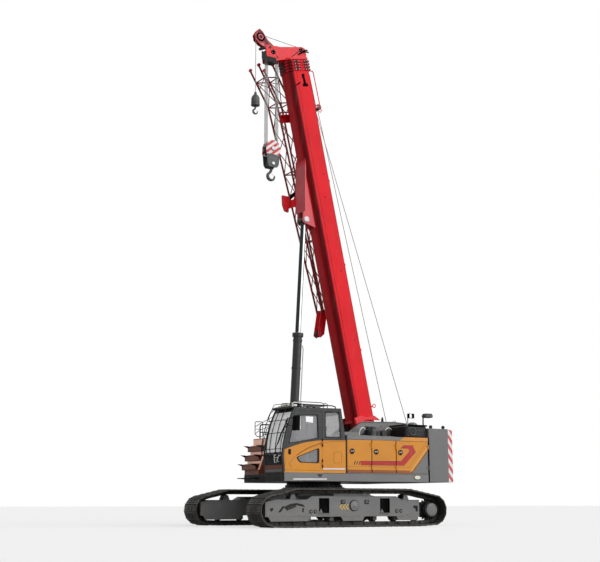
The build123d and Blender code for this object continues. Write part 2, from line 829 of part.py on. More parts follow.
with BuildPart() as cab_glass:
    # curved windscreen, just inside the front skin
    with BuildSketch(side_plane(cab_mid_y)):
        add(cab_outline(14))
        add(cab_outline(14 + glass_thick), mode=Mode.SUBTRACT)
        with Locations((1700, 2330)):
            Rectangle(500, 1000 - 2 * SEAT, mode=Mode.INTERSECT)
    extrude(amount=(cab_outer_y - cab_inner_y) / 2 - cab_wall - 10 - SEAT, both=True)
    with BuildSketch(side_plane(cab_outer_y - cab_wall / 2)):
        add(polygon(rear_side_window, SEAT))
    extrude(amount=glass_thick / 2, both=True)
    with BuildSketch(side_plane(cab_inner_y + cab_wall / 2)):
        add(polygon(inner_side_window, SEAT))
    extrude(amount=glass_thick / 2, both=True)
save(cab_glass, "cab_glass")

with BuildPart() as cab_fittings:
    # the driver's seat
    seat_z = cab_floor + cab_wall + SEAT
    with Locations((620, cab_mid_y, seat_z + 160)):
        Box(380, 360, 320)
    with Locations((640, cab_mid_y, seat_z + 400)):
        Box(520, 500, 160)
    with BuildSketch(side_plane(cab_mid_y)):
        with BuildLine():
            Polyline((380, seat_z + 400), (500, seat_z + 400), (400, seat_z + 1080), (290, seat_z + 1080), close=True)
        make_face()
    extrude(amount=230, both=True)
    # the two consoles with their levers
    for y in (cab_mid_y - 370, cab_mid_y + 350):
        with Locations((700, y, cab_floor + cab_wall + SEAT + 280)):
            Box(560, 110, 560)
        add(post(900, y, cab_floor + cab_wall + SEAT + 550, cab_floor + cab_wall + SEAT + 725, 22))
save(cab_fittings, "cab_fittings")

# Boom

def section_profile(inset):
    """Across the boom: flat back with small corners, large round corners on the underside."""
    height = boom_front - boom_back - 2 * inset
    with BuildSketch(Plane.XY) as profile:
        with Locations((0, -(boom_back + boom_front) / 2)):
            Rectangle(boom_width - 2 * inset, height)
        fillet(profile.vertices().group_by(Axis.Y)[0], boom_corner - inset)
        chamfer(profile.vertices().group_by(Axis.Y)[-1], boom_back_corner)
    return profile.sketch


def tube(s0, s1, outer_inset, inner_inset):
    """A stretch of boom tube from s0 to s1."""
    with BuildPart() as stretch:
        with BuildSketch(boom_cross(s0)):
            add(section_profile(outer_inset))
            add(section_profile(inner_inset), mode=Mode.SUBTRACT)
        extrude(amount=s1 - s0)
    return stretch.part


with BuildPart() as boom_base:
    add(tube(base_start, base_end, 0, boom_wall))
    add(tube(base_end - 4, base_end + collar_length, -collar_proud, section_step - SEAT))
    add(tube(base_start, base_start + 60, -26, boom_wall))
    # foot plates with the bosses of the foot pin
    for side in (-1, 1):
        with BuildSketch(boom_side.offset(side * (boom_width / 2 - 20))):
            with BuildLine():
                Polyline((base_start + 300, boom_back + 20), (base_start + 300, boom_front - 170),
                         (base_start, boom_front - 170), (60, 150), (-90, 0), (-40, -110), (base_start, boom_back + 20),
                         close=True)
            make_face()
            RegularPolygon(140, 16)
            Circle(foot_pin_radius + SEAT, mode=Mode.SUBTRACT)
        extrude(amount=20, both=True)
    # wedge bracket of the luffing cylinder, two side plates and a cover
    for side in (-1, 1):
        with BuildSketch(boom_side.offset(side * (eye_half_width + SEAT + 22))):
            with BuildLine():
                Polyline((rod_eye_s - 260, boom_front - 4), (rod_eye_s - 95, rod_eye_n + 40),
                         (rod_eye_s + 60, rod_eye_n + 95), (rod_eye_s + 1700, boom_front - 4), close=True)
            make_face()
            with Locations((rod_eye_s, rod_eye_n)):
                RegularPolygon(118, 16)
        extrude(amount=22, both=True)
    with BuildSketch(boom_side):
        with BuildLine():
            Polyline((rod_eye_s + 230, rod_eye_n + 60), (rod_eye_s + 1700, boom_front - 4),
                     (rod_eye_s + 1560, boom_front - 4), (rod_eye_s + 230, rod_eye_n + 30), close=True)
        make_face()
    extrude(amount=boom_width / 2 - 20, both=True)
save(boom_base, "boom_base")

section_names = ["boom_base", "boom_section_2", "boom_section_3", "boom_section_4", "boom_section_5"]
for k in range(1, section_count):
    inset = k * section_step
    start = base_start + 200 + 120 * k
    end = base_end + k * collar_pitch
    with BuildPart() as section:
        add(tube(start, end, inset, inset + boom_wall))
        if k < section_count - 1:
            add(tube(end - 4, end + collar_length, -collar_proud, inset + section_step - SEAT))
    save(section, section_names[k])

head_start = base_end + (section_count - 1) * collar_pitch
head_half = 190
rooster_s = (Vector(rooster_x, 0, rooster_z) - pivot).dot(along)
rooster_n = (Vector(rooster_x, 0, rooster_z) - pivot).dot(below)
with BuildPart() as boom_head:
    # closed foot of the head, welded to the last section
    add(tube(head_start + SEAT, head_start + 60, -collar_proud, (section_count - 1) * section_step + 60))
    for side in (-1, 1):
        with BuildSketch(boom_side.offset(side * head_half)):
            with BuildLine():
                Polyline(
                    (head_start + 30, boom_back + 20),
                    (head_start + 30, boom_front),
                    (main_sheave_s - 150, main_sheave_n + 60),
                    (main_sheave_s - 100, main_sheave_n + 200),
                    (main_sheave_s + 130, main_sheave_n + 190),
                    (main_sheave_s + 280, main_sheave_n + 70),
                    (main_sheave_s + 280, main_sheave_n - 90),
                    (head_start + head_length, boom_front + 110),
                    (head_start + head_length, boom_back + 40),
                    (head_start + head_length - 60, boom_back - 60),
                    (head_start + 120, boom_back - 60),
                    close=True,
                )
            make_face()
        extrude(amount=10, both=True)
    # web between the side plates
    with BuildSketch(boom_side):
        with Locations((head_start + 200, boom_front - 140)):
            Rectangle(300, 24)
    extrude(amount=head_half, both=True)
    # pins of the main sheaves and of the top guide sheave
    for s, n in ((main_sheave_s, main_sheave_n), (head_start + 300, boom_back + 90),
                 (main_sheave_s + 240, main_sheave_n - 10)):
        pin = boom_point(s, n)
        add(crossbar(pin.X, 0, pin.Z, 38, 2 * head_half, 8))
    # arm of the rooster sheave
    for side in (-1, 1):
        with BuildSketch(boom_side.offset(side * 48)):
            with BuildLine():
                Polyline((main_sheave_s + 200, main_sheave_n + 70), (main_sheave_s + 200, main_sheave_n - 90),
                         (rooster_s + 150, rooster_n - 100), (rooster_s + 120, rooster_n + 60),
                         (rooster_s - 100, rooster_n + 90), close=True)
            make_face()
        extrude(amount=9, both=True)
    add(crossbar(rooster_x, 0, rooster_z, 30, 110, 8))
save(boom_head, "boom_head")


def sheave(centre, groove, rim, bore):
    """A grooved wheel about Y, made of two halves that meet at the bottom of the groove."""
    with BuildPart() as wheel:
        for side in (-1, 1):
            middle = Plane(origin=centre, x_dir=(1, 0, 0), z_dir=(0, side, 0))
            with BuildSketch(middle):
                RegularPolygon(groove, sheave_sides)
            extrude(amount=rope_radius + 1)
            with BuildSketch(middle.offset(rope_radius + 1)):
                RegularPolygon(groove, sheave_sides)
            with BuildSketch(middle.offset(sheave_width / 2 - 4)):
                RegularPolygon(rim, sheave_sides)
            loft()
            with BuildSketch(middle.offset(sheave_width / 2 - 4)):
                RegularPolygon(rim, sheave_sides)
            extrude(amount=4)
        if bore:
            add(crossbar(centre.X, centre.Y, centre.Z, bore, sheave_width + 2, 8), mode=Mode.SUBTRACT)
    return wheel.part


with BuildPart() as head_sheaves:
    centre = boom_point(main_sheave_s, main_sheave_n)
    for y in main_fall_y:
        add(sheave(centre + Vector(0, y, 0), sheave_groove, sheave_rim, 38 + SEAT))
    add(sheave(boom_point(rooster_s, rooster_n), rooster_groove, rooster_rim, 30 + SEAT))
save(head_sheaves, "head_sheaves")

# Luffing cylinder
rod_eye = boom_point(rod_eye_s, rod_eye_n)
cylinder_foot = Vector(cylinder_foot_x, 0, cylinder_foot_z)
cylinder_axis = (rod_eye - cylinder_foot).normalized()
cylinder_span = (rod_eye - cylinder_foot).length

with BuildPart() as luff_barrel:
    with Locations(Plane(origin=cylinder_foot, z_dir=(0, 1, 0))):
        Cylinder(eye_radius, 2 * eye_half_width)
        Cylinder(cylinder_pin_radius + SEAT, 2 * eye_half_width + 2, mode=Mode.SUBTRACT)
    with BuildSketch(Plane(origin=cylinder_foot + cylinder_axis * 100, x_dir=(0, 1, 0), z_dir=cylinder_axis)):
        Circle(barrel_radius)
    extrude(amount=barrel_length - 100)
    with BuildSketch(Plane(origin=cylinder_foot + cylinder_axis * barrel_length, x_dir=(0, 1, 0), z_dir=cylinder_axis)):
        Circle(gland_radius)
    extrude(amount=gland_length)
    with BuildSketch(Plane(origin=cylinder_foot + cylinder_axis * 160, x_dir=(0, 1, 0), z_dir=cylinder_axis)):
        Circle(rod_radius + SEAT)
    extrude(amount=barrel_length + gland_length, mode=Mode.SUBTRACT)
save(luff_barrel, "luff_barrel")

with BuildPart() as luff_rod:
    with BuildSketch(Plane(origin=cylinder_foot + cylinder_axis * 3300, x_dir=(0, 1, 0), z_dir=cylinder_axis)):
        Circle(rod_radius)
    extrude(amount=cylinder_span - 3300 - 60)
    add(crossbar(rod_eye.X, 0, rod_eye.Z, eye_radius - 6, 2 * eye_half_width, 20))
    add(crossbar(rod_eye.X, 0, rod_eye.Z, 50, 2 * eye_half_width + 2), mode=Mode.SUBTRACT)
save(luff_rod, "luff_rod")

# Ropes from the head, and the two hooks
main_sheave = boom_point(main_sheave_s, main_sheave_n)
main_x = main_sheave.X
fall_offset = sheave_groove + rope_radius + SEAT

with BuildPart() as main_falls:
    for y in main_fall_y:
        for side in (-1, 1):
            add(post(main_x + side * fall_offset, y, block_z, main_sheave.Z, rope_radius, 6))
save(main_falls, "main_falls")

rooster = boom_point(rooster_s, rooster_n)
aux_x = rooster.X + rooster_groove + rope_radius + SEAT
with BuildPart() as aux_fall:
    add(post(aux_x, 0, aux_hook_z + SEAT, rooster.Z, rope_radius, 6))
save(aux_fall, "aux_fall")


def hook_shape(x, z, size, thick):
    """A crane hook hung at (x, z); size is the radius of its bowl's middle line."""
    bar = 0.36 * size
    bowl_z = z - 2.1 * size
    inner = 0.62 * size
    outer = 1.35 * size
    with BuildPart() as shape:
        with BuildSketch(side_plane(0)):
            with BuildLine():
                Polyline((x - inner, bowl_z), (x - 0.95 * size, bowl_z + 0.5 * size), (x - outer, bowl_z))
                ThreePointArc((x - outer, bowl_z), (x, bowl_z - outer), (x + outer, bowl_z))
                Polyline((x + outer, bowl_z), (x + 1.1 * size, bowl_z + 0.8 * size), (x + bar, bowl_z + 1.4 * size),
                         (x + bar, z), (x - bar, z), (x - bar, bowl_z + 1.15 * size),
                         (x + 0.5 * size, bowl_z + 0.55 * size), (x + inner, bowl_z))
                ThreePointArc((x + inner, bowl_z), (x, bowl_z - inner), (x - inner, bowl_z))
            make_face()
        extrude(amount=thick / 2, both=True)
    return shape.part


with BuildPart() as main_block:
    for y in main_fall_y:
        add(crossbar(main_x, y, block_z, sheave_groove, sheave_width, sheave_sides))
    add(crossbar(main_x, 0, block_z, 38, 2 * 118, 8))
    for side in (-1, 1):
        with BuildSketch(side_plane(side * 110)):
            with BuildLine():
                Polyline((main_x - 130, block_z - 560), (main_x + 130, block_z - 560), (main_x + 215, block_z - 160),
                         (main_x + 190, block_z + 130), (main_x + 90, block_z + 230), (main_x - 90, block_z + 230),
                         (main_x - 190, block_z + 130), (main_x - 215, block_z - 160), close=True)
            make_face()
        extrude(amount=8, both=True)
    with Locations((main_x, 0, block_z - 470)):
        Box(250, 230, 150)
    add(hook_shape(main_x, block_z - 540, 95, 62))
save(main_block, "main_block")

# The auxiliary hook's weight, from the top down: drop below its top, radius
aux_weight_steps = [(0, 36), (60, 36), (150, 112), (370, 118)]
with BuildPart() as aux_hook:
    for (high, high_radius), (low, low_radius) in zip(aux_weight_steps, aux_weight_steps[1:]):
        with BuildSketch(Plane.XY.offset(aux_hook_z - high)):
            with Locations((aux_x, 0)):
                RegularPolygon(high_radius, 16)
        with BuildSketch(Plane.XY.offset(aux_hook_z - low)):
            with Locations((aux_x, 0)):
                RegularPolygon(low_radius, 16)
        loft()
    add(hook_shape(aux_x, aux_hook_z - 360, 62, 44))
save(aux_hook, "aux_hook")

# Stowed jib. Front chords, s and n: foot, end of the taper, tip. Back chords lie behind them.
# columns: s, n of the front chords, n of the back chords, y of the near side, y of the far side
jib_stations = [
    (10740, 1020, 560, -440, -930),
    (9650, 660, 210, -440, -915),
    (3650, 450, 230, -420, -680),
]


def jib_node(s, face, side):
    """Place of a chord at s: face 0 front, 1 back; side 0 near the boom, 1 far."""
    for low, high in zip(jib_stations[1:], jib_stations[:-1]):
        if s >= low[0]:
            share = (s - low[0]) / (high[0] - low[0])
            row = [a + (b - a) * share for a, b in zip(low, high)]
            break
    return boom_point(s, row[1 + face], row[3 + side])


with BuildPart() as jib:
    top, knee, tip = [row[0] for row in jib_stations]
    bay = (knee - tip) / jib_bays
    corners = [(0, 0), (0, 1), (1, 1), (1, 0)]
    bars = []
    for face, side in corners:
        bars.append(strut(jib_node(tip, face, side), jib_node(knee, face, side), jib_chord_radius, 8))
        bars.append(strut(jib_node(knee, face, side), jib_node(top, face, side), jib_chord_radius, 8))
    for first, second in zip(corners, corners[1:] + corners[:1]):
        for k in range(jib_bays):
            low, high = (first, second) if k % 2 else (second, first)
            bars.append(strut(jib_node(tip + k * bay, *low), jib_node(tip + (k + 1) * bay, *high), jib_brace_radius))
        for s in (tip, knee, top - 340):
            bars.append(strut(jib_node(s, *first), jib_node(s, *second), jib_brace_radius + 5))
        bars.append(strut(jib_node(knee, *first), jib_node(top - 340, *second), jib_brace_radius))
    for bar in bars:
        add(bar)
    # tip plates with the sheave between them
    for y in (-440, -660):
        with BuildSketch(boom_side.offset(y)):
            with BuildLine():
                Polyline((tip + 40, 250), (tip + 40, 440), (tip - 640, 720), (tip - 720, 640), (tip - 640, 500), close=True)
            make_face()
        extrude(amount=9, both=True)
    tip_sheave = boom_point(tip - 600, 620, -550)
    add(crossbar(tip_sheave.X, tip_sheave.Y, tip_sheave.Z, 30, 230, 8))
    add(crossbar(tip_sheave.X, tip_sheave.Y, tip_sheave.Z, 95, 60, 16))
save(jib, "jib")

with BuildPart() as jib_carriers:
    # pads between the boom's right side and the jib's near chords: place along the boom
    for s in (6750, 9300):
        front = jib_node(s, 0, 0)
        pad_y = front.Y + jib_chord_radius + 1.5 * SEAT
        low_n = (jib_node(s, 1, 0) - pivot).dot(below) - 30
        high_n = (front - pivot).dot(below) + 60
        with BuildSketch(boom_side.offset(pad_y)):
            with Locations((s, (low_n + high_n) / 2)):
                Rectangle(110, high_n - low_n)
        extrude(amount=-boom_width / 2 - SEAT - pad_y)
save(jib_carriers, "jib_carriers")

# Mirrors, rails and lamps

def cab_front_x(z):
    """How far forward the cab's curved front reaches at a height."""
    (ax, az), (bx, bz), (cx, cz) = cab_roof_front, cab_front_mid, cab_front_low
    d = 2 * (ax * (bz - cz) + bx * (cz - az) + cx * (az - bz))
    a2, b2, c2 = ax * ax + az * az, bx * bx + bz * bz, cx * cx + cz * cz
    x0 = (a2 * (bz - cz) + b2 * (cz - az) + c2 * (az - bz)) / d
    z0 = (a2 * (cx - bx) + b2 * (ax - cx) + c2 * (bx - ax)) / d
    radius = hypot(ax - x0, az - z0)
    return x0 + (radius * radius - (z - z0) ** 2) ** 0.5


with BuildPart() as mirrors:
    with Locations((1700, 1950, 2560)):
        Box(60, 180, 390)
    arm_x = cab_front_x(2530) + 15 + SEAT
    with Locations((arm_x, 1470, 2560)):
        Box(30, 40, 60)
    add(strut(Vector(arm_x, 1470, 2560), Vector(1745, 1760, 2600), 14))
    add(strut(Vector(1745, 1760, 2600), Vector(1710, 1900, 2600), 14))
save(mirrors, "mirrors")

with BuildPart() as handrails:
    rail_height = tank_top + 420
    for x in (820, 60):
        add(strut(Vector(x, -1460, tank_top + SEAT), Vector(x, -1460, rail_height), 18))
    add(strut(Vector(820, -1460, rail_height), Vector(60, -1460, rail_height), 18))
save(handrails, "handrails")
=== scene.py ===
from math import asin, atan2, cos, hypot, pi, radians, sin

import bmesh
import bpy
from mathutils import Matrix, Vector


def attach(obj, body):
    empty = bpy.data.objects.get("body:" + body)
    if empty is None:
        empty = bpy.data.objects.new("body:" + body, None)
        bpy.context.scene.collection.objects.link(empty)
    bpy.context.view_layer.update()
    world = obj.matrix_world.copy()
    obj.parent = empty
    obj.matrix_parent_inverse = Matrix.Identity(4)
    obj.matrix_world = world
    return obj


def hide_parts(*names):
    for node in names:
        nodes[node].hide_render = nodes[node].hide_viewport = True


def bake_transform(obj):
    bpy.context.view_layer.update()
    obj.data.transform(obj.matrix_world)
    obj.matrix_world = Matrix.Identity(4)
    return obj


# Telescopic crawler crane. Metres. X forward, Y to the cab side, Z up.

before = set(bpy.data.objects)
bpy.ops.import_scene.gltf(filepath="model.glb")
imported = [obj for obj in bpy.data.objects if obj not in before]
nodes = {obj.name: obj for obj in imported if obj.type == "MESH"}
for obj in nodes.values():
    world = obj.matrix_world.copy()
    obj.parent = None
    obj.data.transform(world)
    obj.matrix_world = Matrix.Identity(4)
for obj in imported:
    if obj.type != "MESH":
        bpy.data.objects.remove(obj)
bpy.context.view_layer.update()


# Colours, as they look, turned into the linear values that shaders take

def colour(red, green, blue):
    parts = []
    for value in (red, green, blue):
        share = value / 255
        parts.append(share / 12.92 if share <= 0.04045 else ((share + 0.055) / 1.055) ** 2.4)
    return (*parts, 1)


RED = colour(242, 32, 44)
YELLOW = colour(226, 146, 26)
GREY = colour(120, 121, 120)
DARK_GREY = colour(46, 47, 49)
BLACK = colour(26, 26, 28)
STEEL_DARK = colour(62, 61, 59)
BROWN = colour(134, 68, 42)
WHITE = colour(236, 236, 234)
STRIPE_RED = colour(206, 22, 30)
STEEL = colour(170, 172, 174)
LIME = colour(206, 204, 20)
DUST = colour(150, 140, 124)
# dust lies on the paint up to this height
DUST_HEIGHT = 1.2


# Materials

class Tree:
    """Short words for building a node tree."""

    def __init__(self, tree):
        self.tree = tree

    def add(self, kind, **settings):
        node = self.tree.nodes.new(kind)
        for key, value in settings.items():
            setattr(node, key, value)
        return node

    def link(self, source, target):
        self.tree.links.new(source, target)

    def math(self, operation, a, b=0.0):
        node = self.add("ShaderNodeMath", operation=operation)
        for socket, value in zip(node.inputs, (a, b)):
            if isinstance(value, (int, float)):
                socket.default_value = value
            else:
                self.link(value, socket)
        return node.outputs[0]

    def span(self, value, low, high, out_low=0.0, out_high=1.0):
        """Maps low to out_low and high to out_high."""
        node = self.add("ShaderNodeMapRange")
        self.link(value, node.inputs["Value"])
        for key, number in (("From Min", low), ("From Max", high), ("To Min", out_low), ("To Max", out_high)):
            node.inputs[key].default_value = number
        return node.outputs["Result"]


class Nodes(Tree):
    """A new material with its shader and the object's coordinates."""

    def __init__(self, name):
        self.material = bpy.data.materials.new(name)
        self.material.use_nodes = True
        super().__init__(self.material.node_tree)
        self.shader = self.tree.nodes["Principled BSDF"]
        self.place = self.add("ShaderNodeTexCoord").outputs["Object"]

    def put(self, key, value):
        """Gives a socket of the shader a value, or links a node's output to it."""
        socket = self.shader.inputs[key]
        if isinstance(value, bpy.types.NodeSocket):
            self.link(value, socket)
        else:
            socket.default_value = value

    def noise(self, scale, detail=4.0, stretch=None):
        node = self.add("ShaderNodeTexNoise")
        node.inputs["Scale"].default_value = scale
        node.inputs["Detail"].default_value = detail
        place = self.place
        if stretch:
            scaled = self.add("ShaderNodeMapping")
            scaled.inputs["Scale"].default_value = stretch
            self.link(place, scaled.inputs["Vector"])
            place = scaled.outputs["Vector"]
        self.link(place, node.inputs["Vector"])
        return node.outputs["Fac"]

    def mix(self, share, a, b):
        node = self.add("ShaderNodeMix", data_type="RGBA")
        if isinstance(share, (int, float)):
            node.inputs["Factor"].default_value = share
        else:
            self.link(share, node.inputs["Factor"])
        for key, value in (("A", a), ("B", b)):
            socket = [s for s in node.inputs if s.name == key and s.type == "RGBA"][0]
            if isinstance(value, tuple):
                socket.default_value = value
            else:
                self.link(value, socket)
        return [s for s in node.outputs if s.type == "RGBA"][0]

    def axis(self, name):
        if not hasattr(self, "parts"):
            node = self.add("ShaderNodeSeparateXYZ")
            self.link(self.place, node.inputs[0])
            self.parts = node.outputs
        return self.parts[name]

    def reach(self, direction):
        """How far a place lies along a direction."""
        node = self.add("ShaderNodeVectorMath", operation="DOT_PRODUCT")
        self.link(self.place, node.inputs[0])
        node.inputs[1].default_value = direction
        return node.outputs["Value"]

    def half_plane(self, point, other, grow=0.0, width=0.002):
        """1 to the left of the line from point to other in X-Z, seen from +Y with X to the left."""
        dx, dz = other[0] - point[0], other[1] - point[1]
        length = hypot(dx, dz)
        nx, nz = dz / length, -dx / length
        edge = point[0] * nx + point[1] * nz - grow
        return self.span(self.reach((nx, 0, nz)), edge - width, edge + width)

    def area(self, points, grow=0.0):
        """1 inside a convex outline in X-Z, widened all round by grow."""
        signed = sum(a[0] * b[1] - b[0] * a[1] for a, b in zip(points, points[1:] + points[:1]))
        if signed > 0:
            points = points[::-1]
        share = None
        for a, b in zip(points, points[1:] + points[:1]):
            step = self.half_plane(a, b, grow)
            share = step if share is None else self.math("MULTIPLY", share, step)
        return share

    def bump(self, height, strength):
        node = self.add("ShaderNodeBump")
        node.inputs["Strength"].default_value = strength
        node.inputs["Distance"].default_value = 0.002
        self.link(height, node.inputs["Height"])
        self.put("Normal", node.outputs["Normal"])

    def edges(self):
        """1 along worn edges, in patches."""
        bevel = self.add("ShaderNodeBevel", samples=3)
        bevel.inputs["Radius"].default_value = 0.008
        flat = self.add("ShaderNodeNewGeometry")
        node = self.add("ShaderNodeVectorMath", operation="DOT_PRODUCT")
        self.link(bevel.outputs["Normal"], node.inputs[0])
        self.link(flat.outputs["Normal"], node.inputs[1])
        turned = self.span(node.outputs["Value"], 0.99, 0.86)
        return self.math("MULTIPLY", turned, self.span(self.noise(9, 6), 0.5, 0.66))


def painted(name, base, rough=0.34, coat=0.3, wear=0.5, dust=0.12, regions=(), shine=0.3, lift=0.0):
    """Machine paint: slight patches, orange peel, worn edges and dust near the ground. regions holds pairs of
    a function that makes a mask and a colour; some of these colours are painted shade and painted highlights.
    lift is a faint glow in the paint's own colour: painted light."""
    n = Nodes(name)
    shade = base
    for mask, tint in regions:
        shade = n.mix(mask(n), shade, tint)
    darker = n.mix(n.span(n.noise(1.3, 5), 0.35, 0.75, 0.0, 0.16), shade, BLACK)
    streaks = n.span(n.noise(3.0, 5, (3.0, 3.0, 0.35)), 0.52, 0.8, 0.0, 0.09)
    dusty = n.mix(streaks, darker, DUST)
    if dust:
        low = n.span(n.axis("Z"), 0.0, DUST_HEIGHT, dust * 4.0, 0.0)
        cloud = n.span(n.noise(5.0, 6), 0.3, 0.75)
        dusty = n.mix(n.math("MULTIPLY", low, cloud), dusty, DUST)
    if wear:
        worn = n.math("MULTIPLY", n.edges(), wear)
        dusty = n.mix(worn, dusty, STEEL_DARK)
    n.put("Base Color", dusty)
    # painted light: a faint glow in the paint's own colour
    if lift:
        n.put("Emission Color", dusty)
        n.put("Emission Strength", lift)
    n.put("Roughness", n.span(n.noise(6.0, 5), 0.3, 0.8, rough - 0.05, rough + 0.16))
    n.put("Coat Weight", coat)
    n.put("Coat Roughness", 0.12)
    n.put("Specular IOR Level", shine)
    n.bump(n.noise(140, 2), 0.06)
    return n.material


def bare_metal(name, base, rough, metallic=1.0, scratch=0.2, grime=BLACK, scale=30.0, share=0.5, shade=None):
    """Unpainted steel with grime in patches and fine scratches."""
    n = Nodes(name)
    patch = n.span(n.noise(scale * 0.3, 6), 0.42, 0.72, 0.0, share)
    tint = n.mix(patch, base, grime)
    # painted reflection: a dark band beside a line
    if shade:
        tint = n.mix(n.half_plane(*shade), tint, colour(44, 50, 50))
    n.put("Base Color", tint)
    n.put("Roughness", n.span(n.noise(scale, 4), 0.3, 0.7, rough - 0.08, rough + 0.18))
    n.put("Metallic", metallic)
    n.bump(n.noise(scale * 4, 3, (1.0, 1.0, 6.0)), scratch)
    return n.material


def plastic(name, base, rough=0.5, grain=0.15):
    n = Nodes(name)
    n.put("Base Color", n.mix(n.span(n.noise(4, 4), 0.4, 0.8, 0.0, 0.08), base, GREY))
    n.put("Specular IOR Level", 0.3)
    n.put("Roughness", n.span(n.noise(12, 3), 0.3, 0.8, rough - 0.06, rough + 0.12))
    n.bump(n.noise(420, 2), grain)
    return n.material


def glass(name, tint, clear, painted_reflection=None, reflection_clear=0.9):
    """Tinted glass with faint smears. painted_reflection makes a mask where the glass carries a painted
    reflection: pale, dense and faintly glowing.
    """
    n = Nodes(name)
    smear = n.span(n.noise(3, 5, (1, 1, 0.4)), 0.45, 0.8, 0.0, 0.25)
    shade = n.mix(smear, tint, colour(200, 200, 196))
    # painted reflection: pale, denser and faintly glowing where the mask is 1
    if painted_reflection:
        mask = painted_reflection(n)
        shade = n.mix(mask, shade, colour(232, 233, 236))
        n.put("Alpha", n.span(mask, 0.0, 1.0, clear, reflection_clear))
        n.put("Emission Color", WHITE)
        n.put("Emission Strength", n.math("MULTIPLY", mask, 0.24))
    else:
        n.put("Alpha", clear)
    n.put("Base Color", shade)
    n.put("Roughness", n.span(n.noise(5, 4), 0.4, 0.8, 0.02, 0.1))
    n.put("IOR", 1.45)
    n.put("Specular IOR Level", 0.8)
    return n.material


def glow(name, tint, strength):
    n = Nodes(name)
    cells = n.add("ShaderNodeTexVoronoi")
    cells.inputs["Scale"].default_value = 90
    n.link(n.place, cells.inputs["Vector"])
    n.put("Base Color", n.mix(n.span(cells.outputs["Distance"], 0.0, 0.6), tint, WHITE))
    n.put("Roughness", 0.15)
    n.put("Emission Color", tint)
    n.put("Emission Strength", strength)
    return n.material


def striped(name, base, stripe, along, pitch):
    """Slanted bands. along is the direction across the bands."""
    n = Nodes(name)
    turn = n.math("FRACT", n.math("DIVIDE", n.reach(along), pitch))
    band = n.math("GREATER_THAN", turn, 0.5)
    mixed = n.mix(band, base, stripe)
    worn = n.mix(n.span(n.noise(6, 6), 0.55, 0.75, 0.0, 0.4), mixed, GREY)
    n.put("Base Color", worn)
    n.put("Roughness", n.span(n.noise(8, 4), 0.3, 0.8, 0.35, 0.55))
    n.bump(n.noise(160, 2), 0.05)
    return n.material


def weight_look():
    """Grey counterweight whose slanted rear corners carry red and white bands, which fall backwards."""
    corner_from = 3.3455
    corner_x = -3.344
    band_fall = 0.335
    band_foot = 2.305
    band_pair = 0.262
    n = Nodes("counterweight_grey")
    across = n.math("ABSOLUTE", n.axis("Y"))
    slant = n.math("ADD", n.math("MULTIPLY", n.axis("X"), -0.6646), n.math("MULTIPLY", across, 0.7472))
    on_corner = n.math("GREATER_THAN", slant, corner_from)
    far = n.math("SUBTRACT", corner_x, n.axis("X"))
    level = n.math("ADD", n.axis("Z"), n.math("MULTIPLY", far, band_fall))
    turn = n.math("FRACT", n.math("DIVIDE", n.math("SUBTRACT", level, band_foot), band_pair))
    bands = n.mix(n.math("LESS_THAN", turn, 0.5), WHITE, STRIPE_RED)
    shade = n.mix(n.span(n.noise(1.3, 5), 0.35, 0.75, 0.0, 0.14), GREY, BLACK)
    mixed = n.mix(on_corner, shade, bands)
    worn = n.mix(n.span(n.noise(7, 6), 0.62, 0.8, 0.0, 0.12), mixed, DARK_GREY)
    n.put("Base Color", worn)
    n.put("Roughness", n.span(n.noise(6.0, 5), 0.3, 0.8, 0.34, 0.52))
    n.put("Specular IOR Level", 0.3)
    n.bump(n.noise(120, 3), 0.1)
    return n.material


# Lower edge of cab and hoods, and the hoods' rear end
sill = 1.345
hood_rear = -2.668

# Where the side panels change colour: outlines in X-Z
arrow = [[(-0.5, 1.552), (-0.5, 1.632), (-1.779, 1.655), (-1.856, 1.562)],
         [(-1.856, 1.562), (-1.779, 1.655), (-2.064, 1.927), (-2.236, 1.909)],
         [(-2.236, 1.909), (-2.064, 1.927), (-2.015, 2.008), (-2.146, 2.066)],
         [(-1.79, 2.008), (-1.868, 2.066), (-2.146, 2.066), (-2.015, 2.008)]]
tick_marks = [[(x, 1.548), (x - 0.038, 1.64), (x - 0.07, 1.64), (x - 0.032, 1.548)]
              for x in (-0.27, -0.345, -0.42)]
# the pressed grooves' darker orange is painted shade
GROOVE_SHADE = colour(184, 116, 34)


def lane(points, tint, grow=0.0):
    """A mask that is 1 inside an outline, and its colour."""
    return (lambda n: n.area(points, grow)), tint


hood_regions = [
    lane([(-0.04, sill), (-0.04, 2.172), (-1.8, 2.212), (-1.8, sill)], YELLOW),
    lane([(-1.72, sill), (-1.72, 2.212), (-1.89, 2.3), (-2.672, 2.3), (hood_rear, 1.95), (-2.13, sill)],
         YELLOW),
    # painted shade: a darker band along the lower edge
    lane([(-0.04, sill), (-0.04, 1.424), (-2.115, 1.424), (-2.13, sill)], colour(158, 84, 22)),
    # painted shade in a pressed groove
    lane([(-0.04, 1.498), (-0.04, 1.51), (-2.09, 1.51), (-2.09, 1.498)], GROOVE_SHADE),
    # painted shade along the slanted rear edge
    lane([(hood_rear, 1.95), (-2.13, sill), (-2.085, sill), (hood_rear, 1.998)], colour(140, 76, 24)),
    # painted highlight on the crease beside it
    lane([(hood_rear, 2.045), (hood_rear, 2.07), (-2.06, 1.4), (-2.06, 1.375)], colour(250, 196, 108)),
    # painted shade in the slanted pressed groove
    lane([(-2.64, 2.18), (-2.64, 2.194), (-1.99, 1.484), (-1.99, 1.47)], GROOVE_SHADE),
    *(lane(outline, colour(120, 24, 28), 0.013) for outline in arrow),
    *(lane(outline, colour(196, 20, 24)) for outline in arrow),
    *(lane(outline, colour(50, 36, 26)) for outline in tick_marks),
]


